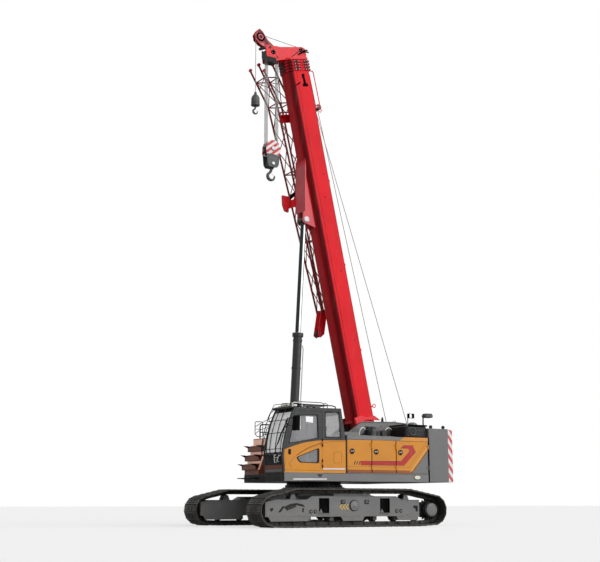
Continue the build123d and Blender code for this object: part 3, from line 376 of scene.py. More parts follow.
def cab_regions():
    """Yellow below the waist, which curves down towards the front."""
    waist_height = 2.158
    slope = 0.022
    curve_from = 0.55
    curve = 0.152

    def waist(n):
        x = n.axis("X")
        front = n.math("POWER", n.math("MAXIMUM", n.math("SUBTRACT", x, curve_from), 0.0), 2.0)
        straight = n.math("SUBTRACT", waist_height, n.math("MULTIPLY", x, slope))
        line = n.math("SUBTRACT", straight, n.math("MULTIPLY", front, curve))
        below = n.span(n.math("SUBTRACT", line, n.axis("Z")), -0.003, 0.003)
        outside = n.span(n.axis("Y"), 1.455, 1.459)
        return n.math("MULTIPLY", below, outside)
    return [(waist, YELLOW)]


def boom_painted_light():
    """Painted shade in dark red on the flat between the boom's side and its rounded underside, and a painted
    highlight in paler red below it.
    """
    towards_underside = (0.9777, 0.0, -0.2101)
    foot_depth = 2.2047

    def depth(n):
        return n.math("ADD", n.reach(towards_underside), foot_depth)

    def flank_painted_shade(n):
        far = depth(n)
        return n.math("MULTIPLY", n.span(far, 0.36, 0.41, 0.0, 0.88), n.span(far, 0.54, 0.49))

    def underside(n):
        return n.span(depth(n), 0.53, 0.57, 0.0, 0.7)
    return [(flank_painted_shade, colour(66, 3, 9)), (underside, colour(240, 128, 134))]


# where the door's pane carries a painted reflection of the pale sky
painted_reflection_corner = [(1.144, 2.727), (0.93, 2.722), (0.931, 2.569), (1.144, 2.589)]

looks = {
    "boom": painted("boom_red", RED, 0.36, 0.15, wear=0.35, dust=0),
    # the boom's sections carry painted shade on the lower flank and a painted highlight on the underside
    "boom_shell": painted("boom_red_shell", RED, 0.42, 0.04, wear=0.25, dust=0,
                          regions=boom_painted_light(), shine=0.1),
    "boom_dark": painted("boom_red_dark", colour(150, 20, 28), 0.36, 0.3, wear=0.4, dust=0),
    # shade: tubes in grooves, seams and recessed rings, in painted shade
    "shade": painted("groove_painted_shade", colour(172, 104, 30), 0.5, 0.1, wear=0, dust=0),
    "copper": painted("tread_copper", colour(206, 142, 108), 0.42, 0.2, wear=0.5, dust=0),
    "body": painted("body_yellow_grey", GREY, 0.38, 0.12, regions=hood_regions, dust=0.05),
    "cab": painted("cab_paint", DARK_GREY, 0.38, 0.12, regions=cab_regions(), dust=0.05),
    "grey": painted("machine_grey", GREY, 0.38, 0.25, dust=0.08),
    "under": painted("undercarriage_grey", colour(118, 119, 121), 0.42, 0.15, dust=0.1, wear=0.6),
    "dark": painted("dark_grey_paint", DARK_GREY, 0.42, 0.15, dust=0.08),
    "black": painted("black_paint", BLACK, 0.5, 0.05, dust=0.03, shine=0.15),
    "brown": painted("step_brown", BROWN, 0.42, 0.2, dust=0),
    "yellow": painted("plain_yellow", YELLOW, 0.34, 0.3, dust=0.02),
    "white": painted("white_paint", WHITE, 0.4, 0.2, dust=0.02, wear=0.2),
    "signal_red": painted("signal_red_paint", STRIPE_RED, 0.4, 0.2, dust=0, wear=0.2),
    "shoe": bare_metal("track_steel", colour(78, 77, 75), 0.5, 0.55, 0.5, colour(52, 46, 40), 14.0, 0.7),
    "link": bare_metal("link_steel", colour(58, 57, 56), 0.48, 0.6, 0.4, colour(40, 36, 32), 20.0, 0.6),
    "cast": bare_metal("cast_dark", colour(84, 86, 86), 0.5, 0.4, 0.5, colour(48, 48, 46), 18.0, 0.4),
    # the chrome rod carries a painted dark reflection in a band down one side
    "chrome": bare_metal("chrome_rod", colour(200, 202, 206), 0.12, 1.0, 0.02, colour(120, 122, 126),
                         6.0, 0.3, ((0.69, 1.55), (0.3096, 8.2162), -0.018, 0.012)),
    "steel": bare_metal("bright_steel", STEEL, 0.32, 0.9, 0.1, colour(90, 90, 88), 20.0, 0.4),
    "rubber": plastic("black_rubber", colour(22, 22, 23), 0.62, 0.3),
    "plastic": plastic("black_plastic", colour(30, 30, 32), 0.45),
    "seat": plastic("seat_cloth", colour(60, 62, 66), 0.85, 0.7),
    "trim": plastic("cab_trim", colour(92, 92, 94), 0.6, 0.3),
    # the windscreen carries a painted reflection, pale and faintly glowing
    "screens": glass("cab_glass_panes", colour(118, 118, 122), 0.62,
                     lambda n: n.span(n.axis("X"), 1.3, 1.34), 0.86),
    "door_pane": glass("door_glass_panes", colour(126, 126, 130), 0.6, lambda n: n.area(painted_reflection_corner), 0.85),
    # deep black without sheen; in the track frames' openings, windows and holes it is painted shade
    "void": painted("deep_black", colour(10, 10, 11), 0.85, 0.0, wear=0, dust=0, shine=0.05),
    "dull_red": painted("rooster_red", colour(176, 42, 52), 0.4, 0.15, wear=0.4, dust=0),
    # dark red for painted shadow on red parts
    "shadow_red": painted("shadow_maroon", colour(92, 14, 22), 0.5, 0.05, wear=0.2, dust=0),
    # pale red for painted highlights on red parts
    "highlight_red": painted("sunlit_red", colour(232, 120, 128), 0.4, 0.15, wear=0.2, dust=0),
    "gold": painted("chevron_gold", colour(232, 188, 62), 0.4, 0.1, wear=0.2, dust=0),
    # the steps' front faces in a lit, glowing copy of their colour: painted light
    "painted_light_peach": painted("riser_painted_light", colour(244, 200, 178), 0.42, 0.1, wear=0.1, dust=0, lift=0.3),
    # pale visor paint with a faint painted glow: painted light
    "visor": painted("visor_pale_glow", colour(222, 228, 176), 0.4, 0.1, wear=0.1, dust=0, lift=0.15),
    "lamp": glow("lamp_lens", colour(250, 246, 230), 0.25),
    "lime": glow("side_marker", LIME, 0.04),
    "amber": glow("amber_dome", colour(236, 130, 24), 0.2),
    "weight": weight_look(),
    "warning": striped("block_stripes", WHITE, STRIPE_RED, (0.62, 0.0, 0.78), 0.135),
    "mirror": bare_metal("mirror_face", colour(220, 222, 226), 0.06, 1.0, 0.0, colour(190, 192, 196),
                         3.0, 0.2),
}


def rope_look():
    """Stranded wire: slanted bands round the rope."""
    n = Nodes("wire_rope")
    wave = n.add("ShaderNodeTexWave", wave_type="BANDS", bands_direction="DIAGONAL")
    wave.inputs["Scale"].default_value = 34
    wave.inputs["Distortion"].default_value = 0.6
    n.link(n.place, wave.inputs["Vector"])
    n.put("Base Color", n.mix(wave.outputs["Fac"], colour(104, 106, 108), colour(176, 178, 178)))
    n.put("Metallic", 0.5)
    n.put("Roughness", n.span(wave.outputs["Fac"], 0.0, 1.0, 0.38, 0.55))
    n.bump(wave.outputs["Fac"], 0.5)
    return n.material


looks["rope"] = rope_look()

dress = {
    "under": ["track_frame_left", "track_frame_right", "carbody"],
    "black": ["engine"],
    "grey": ["deck", "centre_frame", "tank"],
    "dark": ["luff_barrel"],
    "weight": ["counterweight"],
    "body": ["hood_left", "hood_right", "service_door_left_1", "service_door_left_2", "service_door_left_3",
             "service_door_right_1", "service_door_right_2"],
    "cab": ["cab_shell", "cab_door"],
    "brown": ["step_box"],
    "screens": ["cab_glass"],
    "door_pane": ["door_glass"],
    "boom_shell": ["boom_base", "boom_section_2", "boom_section_3", "boom_section_4", "boom_section_5"],
    "boom": ["boom_head"],
    "chrome": ["luff_rod"],
}
for look, members in dress.items():
    for member in members:
        mesh = nodes[member].data
        mesh.materials.clear()
        mesh.materials.append(looks[look])


# Mesh building

UP = Vector((0, 0, 1))
# edges that turn by more than this stay sharp
SHARP_FROM = radians(34)


def across(direction):
    """Two unit vectors square to a direction."""
    direction = Vector(direction).normalized()
    helper = UP if abs(direction.z) < 0.9 else Vector((0, 1, 0))
    first = direction.cross(helper).normalized()
    return first, first.cross(direction).normalized()


def ring_points(centre, direction, radius, sides, turn=0.0):
    first, second = across(direction)
    points = []
    for k in range(sides):
        angle = 2 * pi * (k + turn) / sides
        points.append(Vector(centre) + (first * cos(angle) + second * sin(angle)) * radius)
    return points


def both_ways(half):
    """Steps of a turned shape from one end to the middle, and their mirror image."""
    return half + [(-far, radius) for far, radius in reversed(half)]


def rectangle(x0, z0, x1, z1):
    """A rectangle's outline from two opposite corners."""
    return [(x0, z0), (x1, z0), (x1, z1), (x0, z1)]


def oval(x, z, half_x, half_z, count):
    """An oval outline in X-Z round x, z."""
    turns = [2 * pi * k / count for k in range(count)]
    return [(x + half_x * cos(turn), z + half_z * sin(turn)) for turn in turns]


def arc(x, z, radius, end, count):
    """Part of a circle in X-Z round x, z, from straight ahead up to the angle end."""
    turns = [end * k / count for k in range(count + 1)]
    return [(x + radius * cos(turn), z + radius * sin(turn)) for turn in turns]


class Piece:
    """One mesh made of many parts; each part has its own look."""

    def __init__(self, name):
        self.name = name
        self.mesh = bmesh.new()
        self.looks = []

    def loft(self, look, rings, closed=False):
        """Skin over rings with equal numbers of points. closed joins the last ring to the first."""
        if look not in self.looks:
            self.looks.append(look)
        index = self.looks.index(look)
        rows = [[self.mesh.verts.new(point) for point in ring] for ring in rings]
        skins = []
        for a, b in zip(rows, rows[1:] + rows[:1] if closed else rows[1:]):
            for k in range(len(a)):
                after = (k + 1) % len(a)
                skins.append(self.mesh.faces.new((a[k], a[after], b[after], b[k])))
        if not closed:
            skins.append(self.mesh.faces.new(rows[0][::-1]))
            skins.append(self.mesh.faces.new(rows[-1]))
        for face in skins:
            face.material_index = index

    def turned(self, look, origin, direction, steps, sides=24):
        """A turned shape: steps of distance along the axis and radius."""
        axis = Vector(direction).normalized()
        rings = [ring_points(Vector(origin) + axis * far, axis, radius, sides, 0.5) for far, radius in steps]
        self.loft(look, rings)

    def hoop(self, look, origin, direction, steps, sides=48):
        """A ring with an open bore: steps of distance along the axis and radius, all the way round."""
        axis = Vector(direction).normalized()
        rings = [ring_points(Vector(origin) + axis * far, axis, radius, sides) for far, radius in steps]
        self.loft(look, rings, closed=True)

    def bar(self, look, a, b, radius, sides=12):
        a, b = Vector(a), Vector(b)
        long = (b - a).length
        cut = min(radius * 0.25, long * 0.2)
        self.turned(look, a, b - a, [(0, radius - cut), (cut, radius), (long - cut, radius),
                                     (long, radius - cut)], sides)

    def tube(self, look, path, radius, sides=8, closed=False, radii=None):
        """A round tube along a path, with mitred bends."""
        path = [Vector(point) for point in path]
        count = len(path)
        rings = []
        first = None
        for k, point in enumerate(path):
            before = path[k - 1] if k or closed else point
            after = path[(k + 1) % count] if k + 1 < count or closed else point
            ahead = ((after - point).normalized() + (point - before).normalized()).normalized()
            if first is None:
                first, _ = across(ahead)
            first = (first - ahead * first.dot(ahead)).normalized()
            second = ahead.cross(first)
            lean = 1.0
            if before != point and after != point:
                lean = 1 / max(0.5, (point - before).normalized().dot(ahead))
            size = radii[k] if radii else radius
            rings.append([point + (first * cos(2 * pi * j / sides)
                                   + second * sin(2 * pi * j / sides)) * size * lean for j in range(sides)])
        self.loft(look, rings, closed)

    def plate(self, look, outline, thickness, cut=0.002):
        """A flat piece: outline in space, thickness as a vector, edges slightly broken."""
        outline = [Vector(point) for point in outline]
        middle = sum(outline, Vector()) / len(outline)
        deep = Vector(thickness)
        cut = min(cut, deep.length * 0.3)
        small = []
        for point in outline:
            pull = middle - point
            small.append(point + pull.normalized() * min(cut * 1.4, pull.length * 0.2))
        inwards = deep.normalized() * cut
        self.loft(look, [small, [p + inwards for p in outline], [p + deep - inwards for p in outline],
                         [p + deep for p in small]])

    def side(self, look, points, y, thickness, cut=0.002):
        """A plate whose outline is given in X-Z, at y, thick towards +Y."""
        self.plate(look, [(x, y, z) for x, z in points], (0, thickness, 0), cut)

    def bend(self, look, points, y, radius, sides=8, closed=False):
        """A tube whose path is given in X-Z, at y."""
        self.tube(look, [(x, y, z) for x, z in points], radius, sides, closed)

    def slanted(self, look, points, y, thickness, cut=0.002):
        """A plate whose outline is given as s and n in the boom's axes."""
        self.plate(look, [boom_point(s, n, y) for s, n in points], (0, thickness, 0), cut)

    def slanted_block(self, look, s0, s1, n0, n1, y0, y1, cut=0.004):
        """A block square to the boom."""
        self.slanted(look, rectangle(s0, n0, s1, n1), y0, y1 - y0, cut)

    def slanted_tube(self, look, points, y, radius, sides=10, closed=False):
        """A tube whose path is given as s and n in the boom's axes."""
        self.tube(look, [boom_point(s, n, y) for s, n in points], radius, sides, closed)

    def block(self, look, low, high, cut=0.006):
        """A box with broken edges."""
        (x0, y0, z0), (x1, y1, z1) = low, high
        cut = min(cut, (x1 - x0) / 3, (y1 - y0) / 3, (z1 - z0) / 3)

        def outline(inset, z):
            a, b, c, d = x0 + inset, x1 - inset, y0 + inset, y1 - inset
            corner = cut if inset == 0 else cut * 0.6
            return [(a + corner, c, z), (b - corner, c, z), (b, c + corner, z), (b, d - corner, z),
                    (b - corner, d, z), (a + corner, d, z), (a, d - corner, z), (a, c + corner, z)]
        self.loft(look, [outline(cut, z0), outline(0, z0 + cut), outline(0, z1 - cut), outline(cut, z1)])

    def mirrored(self, look, low, high, cut=0.006):
        """A box on the left and its mirror image on the right."""
        for sign in (1, -1):
            near, far = sorted((sign * low[1], sign * high[1]))
            self.block(look, (low[0], near, low[2]), (high[0], far, high[2]), cut)

    def bolt(self, look, place, direction, size):
        """A hexagon head on a washer; size is the head's radius."""
        self.turned(look, place, direction, [(0, size * 1.35), (size * 0.25, size * 1.3)], 12)
        self.turned(look, Vector(place) + Vector(direction).normalized() * size * 0.25, direction,
                    [(0, size), (size * 0.75, size), (size * 0.9, size * 0.85)], 6)

    def bolts(self, look, centre, direction, radius, count, size, turn=0.0):
        for place in ring_points(centre, direction, radius, count, turn):
            self.bolt(look, place, direction, size)

    def done(self, body, slot_look=None, replaced=(), blend=None):
        """Turns the parts into an object that moves with a body; given blend, it is left where it was built
        and moves with no body.
        """
        bmesh.ops.recalc_face_normals(self.mesh, faces=self.mesh.faces)
        data = bpy.data.meshes.new(self.name)
        self.mesh.to_mesh(data)
        self.mesh.free()
        for look in self.looks:
            data.materials.append(looks[look])
        data.shade_smooth()
        data.set_sharp_from_angle(angle=SHARP_FROM)
        piece = bpy.data.objects.new(self.name, data)
        bpy.context.scene.collection.objects.link(piece)
        if replaced:
            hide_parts(*replaced)
        if blend:
            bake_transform(piece)
        else:
            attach(piece, body)
        return piece


# The boom's own axes: s along it from the foot pin, n towards its underside
boom_angle = radians(77.87)
pivot = Vector((-1.75, 0, 2.35))
along = Vector((cos(boom_angle), 0, sin(boom_angle)))
below = Vector((sin(boom_angle), 0, -cos(boom_angle)))


def boom_point(s, n, y=0.0):
    return pivot + along * s + below * n + Vector((0, y, 0))


# Faces of the solids that pieces lie on, as distances from the middle plane, and the rear face
boom_skin = 0.2805
head_skin = 0.2005
hood_skin = 1.5005
door_skin = 1.4995
cab_skin = 1.4998
pane_face = 1.4955
rear_face = -3.8495

# Heights of the flat tops that pieces stand on
cab_roof = 2.955
tank_top = 2.281
weight_top = 2.548

# Luffing cylinder: its foot in X-Z, its rod's eye in the boom's axes, and how far from the foot its gland is
cylinder_foot = (0.69, 1.55)
rod_eye = (6.168, 0.781)
gland = 3.5205

# Ropes: radius, gap to a groove, and y and n of the two lanes on the boom's back. Drums: X, Z and radius.
# Rear guide roller: X and Z, and how far from its middle the rope runs
rope = 0.009
rope_gap = 0.0004
rope_lanes = (-0.055, 0.055)
rope_n = -0.172
upper_drum = (-2.33, 2.33, 0.19)
lower_drum = (-2.41, 1.8, 0.17)
rear_roller = (-3.06, 2.695)
rear_reach = 0.0944

# Sheaves: radius of the groove's floor, radius of the rim and half the width
main_sizes = (0.156, 0.188, 0.023)
rooster_sizes = (0.106, 0.134, 0.023)


# Tracks

link_top = 0.11
wheel_radius = 0.255
track_y = 1.74
idler = (2.395, 0.405)
drive = (-2.395, 0.415)
roller_z = 0.21
carrier_z = 0.755
belt_wheels = [(-1.95, roller_z, 0.075), (1.95, roller_z, 0.075), (*idler, wheel_radius),
               (1.75, carrier_z, 0.06), (-1.62, carrier_z, 0.06), (*drive, wheel_radius)]


def belt_places(lift, count, phase):
    """Places on the chain's line at a height above the rails: point and outward direction, in X-Z."""
    lanes = []
    total_wheels = len(belt_wheels)
    normals = []
    for k in range(total_wheels):
        x0, z0, r0 = belt_wheels[k]
        x1, z1, r1 = belt_wheels[(k + 1) % total_wheels]
        long = hypot(x1 - x0, z1 - z0)
        ux, uz = (x1 - x0) / long, (z1 - z0) / long
        lean = (r0 - r1) / long
        rise = (1 - lean * lean) ** 0.5
        normals.append((ux * lean + uz * rise, uz * lean - ux * rise))
    for k, (nx, nz) in enumerate(normals):
        x0, z0, r0 = belt_wheels[k]
        x1, z1, r1 = belt_wheels[(k + 1) % total_wheels]
        start = Vector((x0 + nx * (r0 + lift), z0 + nz * (r0 + lift)))
        end = Vector((x1 + nx * (r1 + lift), z1 + nz * (r1 + lift)))
        lanes.append((None, (end - start).length, start, end, atan2(nz, nx)))
        mx, mz = normals[(k + 1) % total_wheels]
        turn = (atan2(mz, mx) - atan2(nz, nx)) % (2 * pi)
        lanes.append((r1 + lift, turn * (r1 + lift), Vector((x1, z1)), None, atan2(nz, nx)))
    total = sum(lane[1] for lane in lanes)
    places = []
    for k in range(count):
        rest = (k + phase) * total / count
        for radius, long, a, b, angle in lanes:
            if rest <= long:
                break
            rest -= long
        if radius is None:
            places.append((a + (b - a) * (rest / long), angle))
        else:
            places.append((a + Vector((cos(angle + rest / radius), sin(angle + rest / radius))) * radius,
                           angle + rest / radius))
    return places, total / count


# One shoe, seen from the side: share of the pitch along the chain, height over the plate's top
shoe_line = [(-0.47, -0.02), (-0.48, -0.004), (-0.44, 0.024), (-0.38, 0.024), (-0.34, 0.003), (-0.09, 0.003),
             (-0.06, 0.018), (-0.01, 0.018), (0.02, 0.003), (0.26, 0.003), (0.29, 0.018), (0.34, 0.018),
             (0.38, 0.003), (0.45, 0.0), (0.52, -0.012), (0.5, -0.02)]
shoe_count = 66


def make_track(side, y):
    """Shoes with three bars each, bolted to pairs of links with pins and bushings between them."""
    shoes = Piece(f"track_shoes_{side}")
    places, pitch = belt_places(link_top, shoe_count, 0.5)
    for point, angle in places:
        out = Vector((cos(angle), 0, sin(angle)))
        ahead = Vector((-sin(angle), 0, cos(angle)))
        middle = Vector((point.x, y, point.y))
        rings = []
        for width, share in ((-0.36, 0.35), (-0.335, 1.0), (0.335, 1.0), (0.36, 0.35)):
            ring = []
            for far, high in shoe_line:
                spot = middle + ahead * (far * pitch) + out * (high * share if high > 0 else high)
                spot.y += width
                spot.z = max(spot.z, 0.0)
                ring.append(spot)
            rings.append(ring)
        shoes.loft("shoe", rings)
        for sideways in (-0.095, 0.095):
            for far in (-0.22, 0.14):
                head = middle + ahead * (far * pitch) + out * 0.003 + Vector((0, sideways, 0))
                if head.z > 0.03:
                    shoes.turned("link", head, out, [(0, 0.017), (0.01, 0.017), (0.013, 0.013)], 6)
    shoes.done("undercarriage", replaced=(f"track_{side}",))
    chain = Piece(f"track_links_{side}")
    joints, _ = belt_places(0.045, shoe_count, 0.0)
    for k, (point, angle) in enumerate(joints):
        after = joints[(k + 1) % shoe_count][0]
        start, end = Vector((point.x, 0, point.y)), Vector((after.x, 0, after.y))
        ahead = (end - start).normalized()
        out = Vector((ahead.z, 0, -ahead.x))
        reach = (end - start).length
        outline = []
        for far, high in ((-0.036, 0.01), (-0.036, -0.022), (-0.018, -0.042), (reach * 0.5, -0.044),
                          (reach + 0.018, -0.042), (reach + 0.036, -0.022), (reach + 0.036, 0.01),
                          (reach + 0.012, 0.036), (reach * 0.74, 0.045), (reach * 0.26, 0.045),
                          (-0.012, 0.036)):
            outline.append(start + ahead * far + out * high)
        for sign in (-1, 1):
            near = 0.052 if k % 2 else 0.072
            low = y + near if sign > 0 else y - near - 0.019
            chain.plate("link", [(p.x, low, p.z) for p in outline], (0, 0.019, 0), 0.003)
        chain.turned("link", (point.x, y - 0.097, point.y), (0, 1, 0),
                     [(0, 0.015), (0.003, 0.019), (0.191, 0.019), (0.194, 0.015)], 10)
        chain.turned("link", (point.x, y - 0.05, point.y), (0, 1, 0), [(0, 0.029), (0.1, 0.029)], 10)
    chain.done("undercarriage")


def make_wheels(side, y):
    """Idler with a dished web, bottom rollers and carrier rollers with their shafts."""
    wheels = Piece(f"rollers_{side}")
    rim = wheel_radius - 0.0006
    dish = both_ways([(-0.104, 0.085), (-0.06, 0.09), (-0.052, 0.185), (-0.09, 0.215), (-0.092, rim - 0.006),
                      (-0.088, rim), (-0.049, rim), (-0.044, 0.276)])
    wheels.turned("link", (idler[0], y, idler[1]), (0, 1, 0), dish, 48)
    wheels.bolts("steel", (idler[0], y + 0.06, idler[1]), (0, 1, 0), 0.135, 8, 0.012)
    for k in range(7):
        x = -1.95 + 0.65 * k
        tread = 0.0745
        wheels.turned("link", (x, y, roller_z), (0, 1, 0),
                      both_ways([(-0.106, 0.036), (-0.098, 0.05), (-0.092, 0.066), (-0.089, tread),
                                 (-0.049, tread), (-0.044, 0.09), (-0.03, 0.088), (-0.024, 0.07)]), 24)
        for sign in (-1, 1):
            wheels.turned("cast", (x, y + sign * 0.106, roller_z), (0, sign, 0),
                          [(0, 0.034), (0.04, 0.034), (0.046, 0.026)], 16)
    for x in (1.75, -1.62):
        wheels.turned("link", (x, y, carrier_z), (0, 1, 0),
                      both_ways([(-0.1, 0.03), (-0.092, 0.05), (-0.089, 0.0595)]), 24)
    wheels.done("undercarriage", replaced=(f"track_wheels_{side}",))


def make_drive(side, y):
    """Toothed wheel, its flange bolts and the round final drive."""
    outer = 1 if y > 0 else -1
    wheel = Piece(f"final_drive_{side}")
    teeth = 19
    for sign in (-1, 1):
        rings = []
        for far, grow in ((0.0, 0), (0.022, 0), (0.028, -0.008)):
            ring = []
            for k in range(teeth):
                for share, radius in ((-0.34, 0.233), (-0.2, 0.246), (-0.1, 0.284), (0.1, 0.284),
                                      (0.2, 0.246), (0.34, 0.233)):
                    angle = 2 * pi * (k + share) / teeth
                    ring.append((drive[0] + (radius + grow) * cos(angle), y + sign * far, drive[1]
                                 + (radius + grow) * sin(angle)))
            rings.append(ring)
        wheel.loft("link", rings)
    wheel.turned("black", (drive[0], y, drive[1]), (0, outer, 0),
                 [(-0.165, 0.15), (-0.16, 0.165), (0.0, 0.165), (0.0, 0.205), (0.11, 0.205), (0.12, 0.196),
                  (0.122, 0.178), (0.15, 0.176)], 48)
    wheel.bolts("black", (drive[0], y + outer * 0.029, drive[1]), (0, outer, 0), 0.219, 20, 0.009)
    wheel.turned("under", (drive[0], y + outer * 0.122, drive[1]), (0, outer, 0),
                 [(0, 0.172), (0.086, 0.172), (0.098, 0.166), (0.104, 0.154), (0.107, 0.11), (0.107, 0.04)],
                 48)
    wheel.bolts("under", (drive[0], y + outer * 0.228, drive[1]), (0, outer, 0), 0.128, 3, 0.012, 0.25)
    wheel.done("undercarriage", "black", replaced=(f"sprocket_{side}",))


def make_frame_parts(side, y):
    """What is fixed to a track frame's outer side."""
    outer = 1 if y > 0 else -1
    skin = y + outer * 0.21
    parts = Piece(f"track_frame_parts_{side}")

    def flat(look, points, low, thick, cut=0.002):
        parts.side(look, points, skin + outer * low, outer * thick, cut)

    parts.turned("under", (0.03, skin + outer * 0.001, 0.525), (0, outer, 0),
                 [(0, 0.122), (0.024, 0.122), (0.029, 0.116), (0.029, 0.03), (0.031, 0.026)], 40)
    parts.hoop("void", (0.03, skin, 0.525), (0, outer, 0), rectangle(0.001, 0.1225, 0.014, 0.137), 40)
    # deep black behind the small cover plates: painted shade in their openings
    for x in (0.355, -0.35):
        flat("void", rectangle(x - 0.066, 0.562, x + 0.066, 0.664), 0.0, 0.004)
        flat("under", rectangle(x - 0.05, 0.576, x + 0.05, 0.65), 0.004, 0.003)
        parts.tube("under", [(x - 0.034, skin, 0.585), (x - 0.034, skin + outer * 0.026, 0.59),
                             (x - 0.02, skin + outer * 0.034, 0.628), (x + 0.02, skin + outer * 0.034, 0.628),
                             (x + 0.034, skin + outer * 0.026, 0.59), (x + 0.034, skin, 0.585)], 0.009)
    for k in range(3):
        x = 0.47 - 0.088 * k
        flat("gold", [(x - 0.008, 0.495), (x - 0.086, 0.56), (x - 0.118, 0.56), (x - 0.042, 0.495),
                      (x - 0.118, 0.43), (x - 0.086, 0.43)], 0.0, 0.0015, 0.0003)
    # recessed windows, lined and backed with deep black: painted shade
    for centre in (0.91, -0.91):
        low, high = (centre - 0.15, centre + 0.15), (0.345, 0.705)
        deep = 0.056
        for x0, z0, x1, z1 in ((low[0], high[0], low[1], high[0] + 0.004),
                               (low[0], high[1] - 0.004, low[1], high[1]),
                               (low[0], high[0], low[0] + 0.004, high[1]),
                               (low[1] - 0.004, high[0], low[1], high[1])):
            parts.side("void", rectangle(x0, z0, x1, z1), skin - outer * deep, outer * (deep - 0.003), 0.001)
        flat("void", rectangle(low[0], high[0], low[1], high[1]), -0.057, 0.004)
        flat("under", [(centre + 0.155, 0.352), (centre + 0.02, 0.352), (centre + 0.045, 0.395),
                       (centre + 0.08, 0.45), (centre + 0.105, 0.395)], -0.05, 0.03)
        flat("under", rectangle(centre + 0.17, 0.33, centre - 0.15, 0.344), 0.0, 0.02)
    # round holes, deep black inside: painted shade, each with a cap
    for x, z in ((1.29, 0.383), (1.164, 0.383), (-1.277, 0.391), (-1.406, 0.391)):
        parts.turned("void", (x, skin, z), (0, outer, 0), [(-0.002, 0.046), (0.006, 0.046), (0.008, 0.042)],
                     20)
        parts.turned("under", (x, skin + outer * 0.007, z), (0, outer, 0), [(0, 0.03), (0.008, 0.028)], 16)
    # shaped openings towards the idler as black sheets, painted shade, with the chain tensioner behind
    flat("black", [(2.44, 0.455), (2.36, 0.475), (2.34, 0.435), (2.385, 0.385), (2.43, 0.4)], 0.0, 0.002)
    flat("black", [(2.215, 0.372), (2.15, 0.44), (2.085, 0.52), (2.035, 0.505), (2.085, 0.43),
                   (2.155, 0.365)], 0.0, 0.002)
    flat("black", [(2.06, 0.485), (1.9, 0.56), (1.7, 0.59), (1.52, 0.555), (1.45, 0.49), (1.53, 0.5),
                   (1.69, 0.535), (1.85, 0.5), (1.96, 0.42)], 0.0, 0.002)
    flat("black", [(1.53, 0.47), (1.48, 0.46), (1.505, 0.365), (1.545, 0.375)], 0.0, 0.002)
    parts.bar("link", (1.98, skin + outer * 0.004, 0.43), (1.72, skin + outer * 0.004, 0.515), 0.02)
    flat("black", [(-1.78, 0.482), (-1.83, 0.53), (-1.945, 0.519), (-1.941, 0.37), (-1.88, 0.375),
                   (-1.86, 0.45)], 0.0, 0.003)
    # weld lines along the frame and its bolts
    for x0, z0, x1, z1 in ((2.552, 0.61, 2.3, 0.668), (2.3, 0.668, 1.4, 0.668), (1.25, 0.755, -1.27, 0.755),
                           (-1.42, 0.668, -1.985, 0.668), (2.552, 0.268, -1.985, 0.268)):
        parts.bar("under", (x0, skin, z0 - 0.004), (x1, skin, z1 - 0.004), 0.006, 6)
    for x in (2.1, 1.62, 0.55, -0.45, -1.62):
        for z in (0.3, 0.63):
            parts.bolt("under", (x, skin, z), (0, outer, 0), 0.011)
    parts.done("undercarriage", "under")


for side, y in (("left", track_y), ("right", -track_y)):
    make_track(side, y)
    make_wheels(side, y)
    make_drive(side, y)
    make_frame_parts(side, y)

# Slewing ring and the carbody's fittings

ring = Piece("slew_ring_bolted")
ring.hoop("black", (0, 0, 0.9804), (0, 0, 1), [(0, 0.735), (0.006, 0.76), (0.052, 0.76), (0.058, 0.752),
                                               (0.064, 0.752), (0.064, 0.575), (0.06, 0.562), (0, 0.562)], 96)
ring.bolts("steel", (0, 0, 1.0402), (0, 0, 1), 0.742, 48, 0.01)
ring.done("undercarriage", replaced=("slew_ring_lower",))
top_ring = Piece("slew_ring_turning")
teeth = 90
rings = []
for z, reduce in ((1.0456, 0.004), (1.05, 0.0), (1.112, 0.0), (1.1172, 0.004)):
    circle = []
    for k in range(teeth):
        for share, radius in ((-0.3, 0.7), (-0.12, 0.719), (0.12, 0.719), (0.3, 0.7)):
            angle = 2 * pi * (k + share) / teeth
            circle.append(((radius - reduce) * cos(angle), (radius - reduce) * sin(angle), z))
    rings.append(circle)
inner = [[(0.602 * cos(2 * pi * k / (teeth * 4)), 0.602 * sin(2 * pi * k / (teeth * 4)), z)
          for k in range(teeth * 4)] for z in (1.1172, 1.0456)]
top_ring.loft("black", rings + inner, closed=True)
top_ring.done("upper", replaced=("slew_ring_upper",))

carbody = Piece("carbody_parts")
carbody.bolts("under", (0, 0, 0.98), (0, 0, 1), 0.795, 36, 0.011)
for x in (0.91, -0.91):
    for y in (-1.4, -1.2, 1.2, 1.4):
        for dx in (-0.09, 0.09):
            carbody.bolt("under", (x + dx, y, 0.697), (0, 0, 1), 0.016)
    for sign in (-1, 1):
        carbody.block("under", (x - 0.15, sign * 1.5 - 0.035, 0.69), (x + 0.15, sign * 1.5 + 0.035, 0.722))
# hoses from the middle to the four ends of the track frames
hose = [(0.55, 0.55, 0.86), (0.8, 0.75, 0.86), (1.12, 0.9, 0.78), (1.18, 1.2, 0.74), (1.22, 1.52, 0.72)]
for front in (-1, 1):
    for sign in (-1, 1):
        carbody.tube("rubber", [(front * x, sign * y, z) for x, y, z in hose], 0.016)
carbody.done("undercarriage", "under")


# Deck: dark front edges, white strips, marker lamps, the step's prong

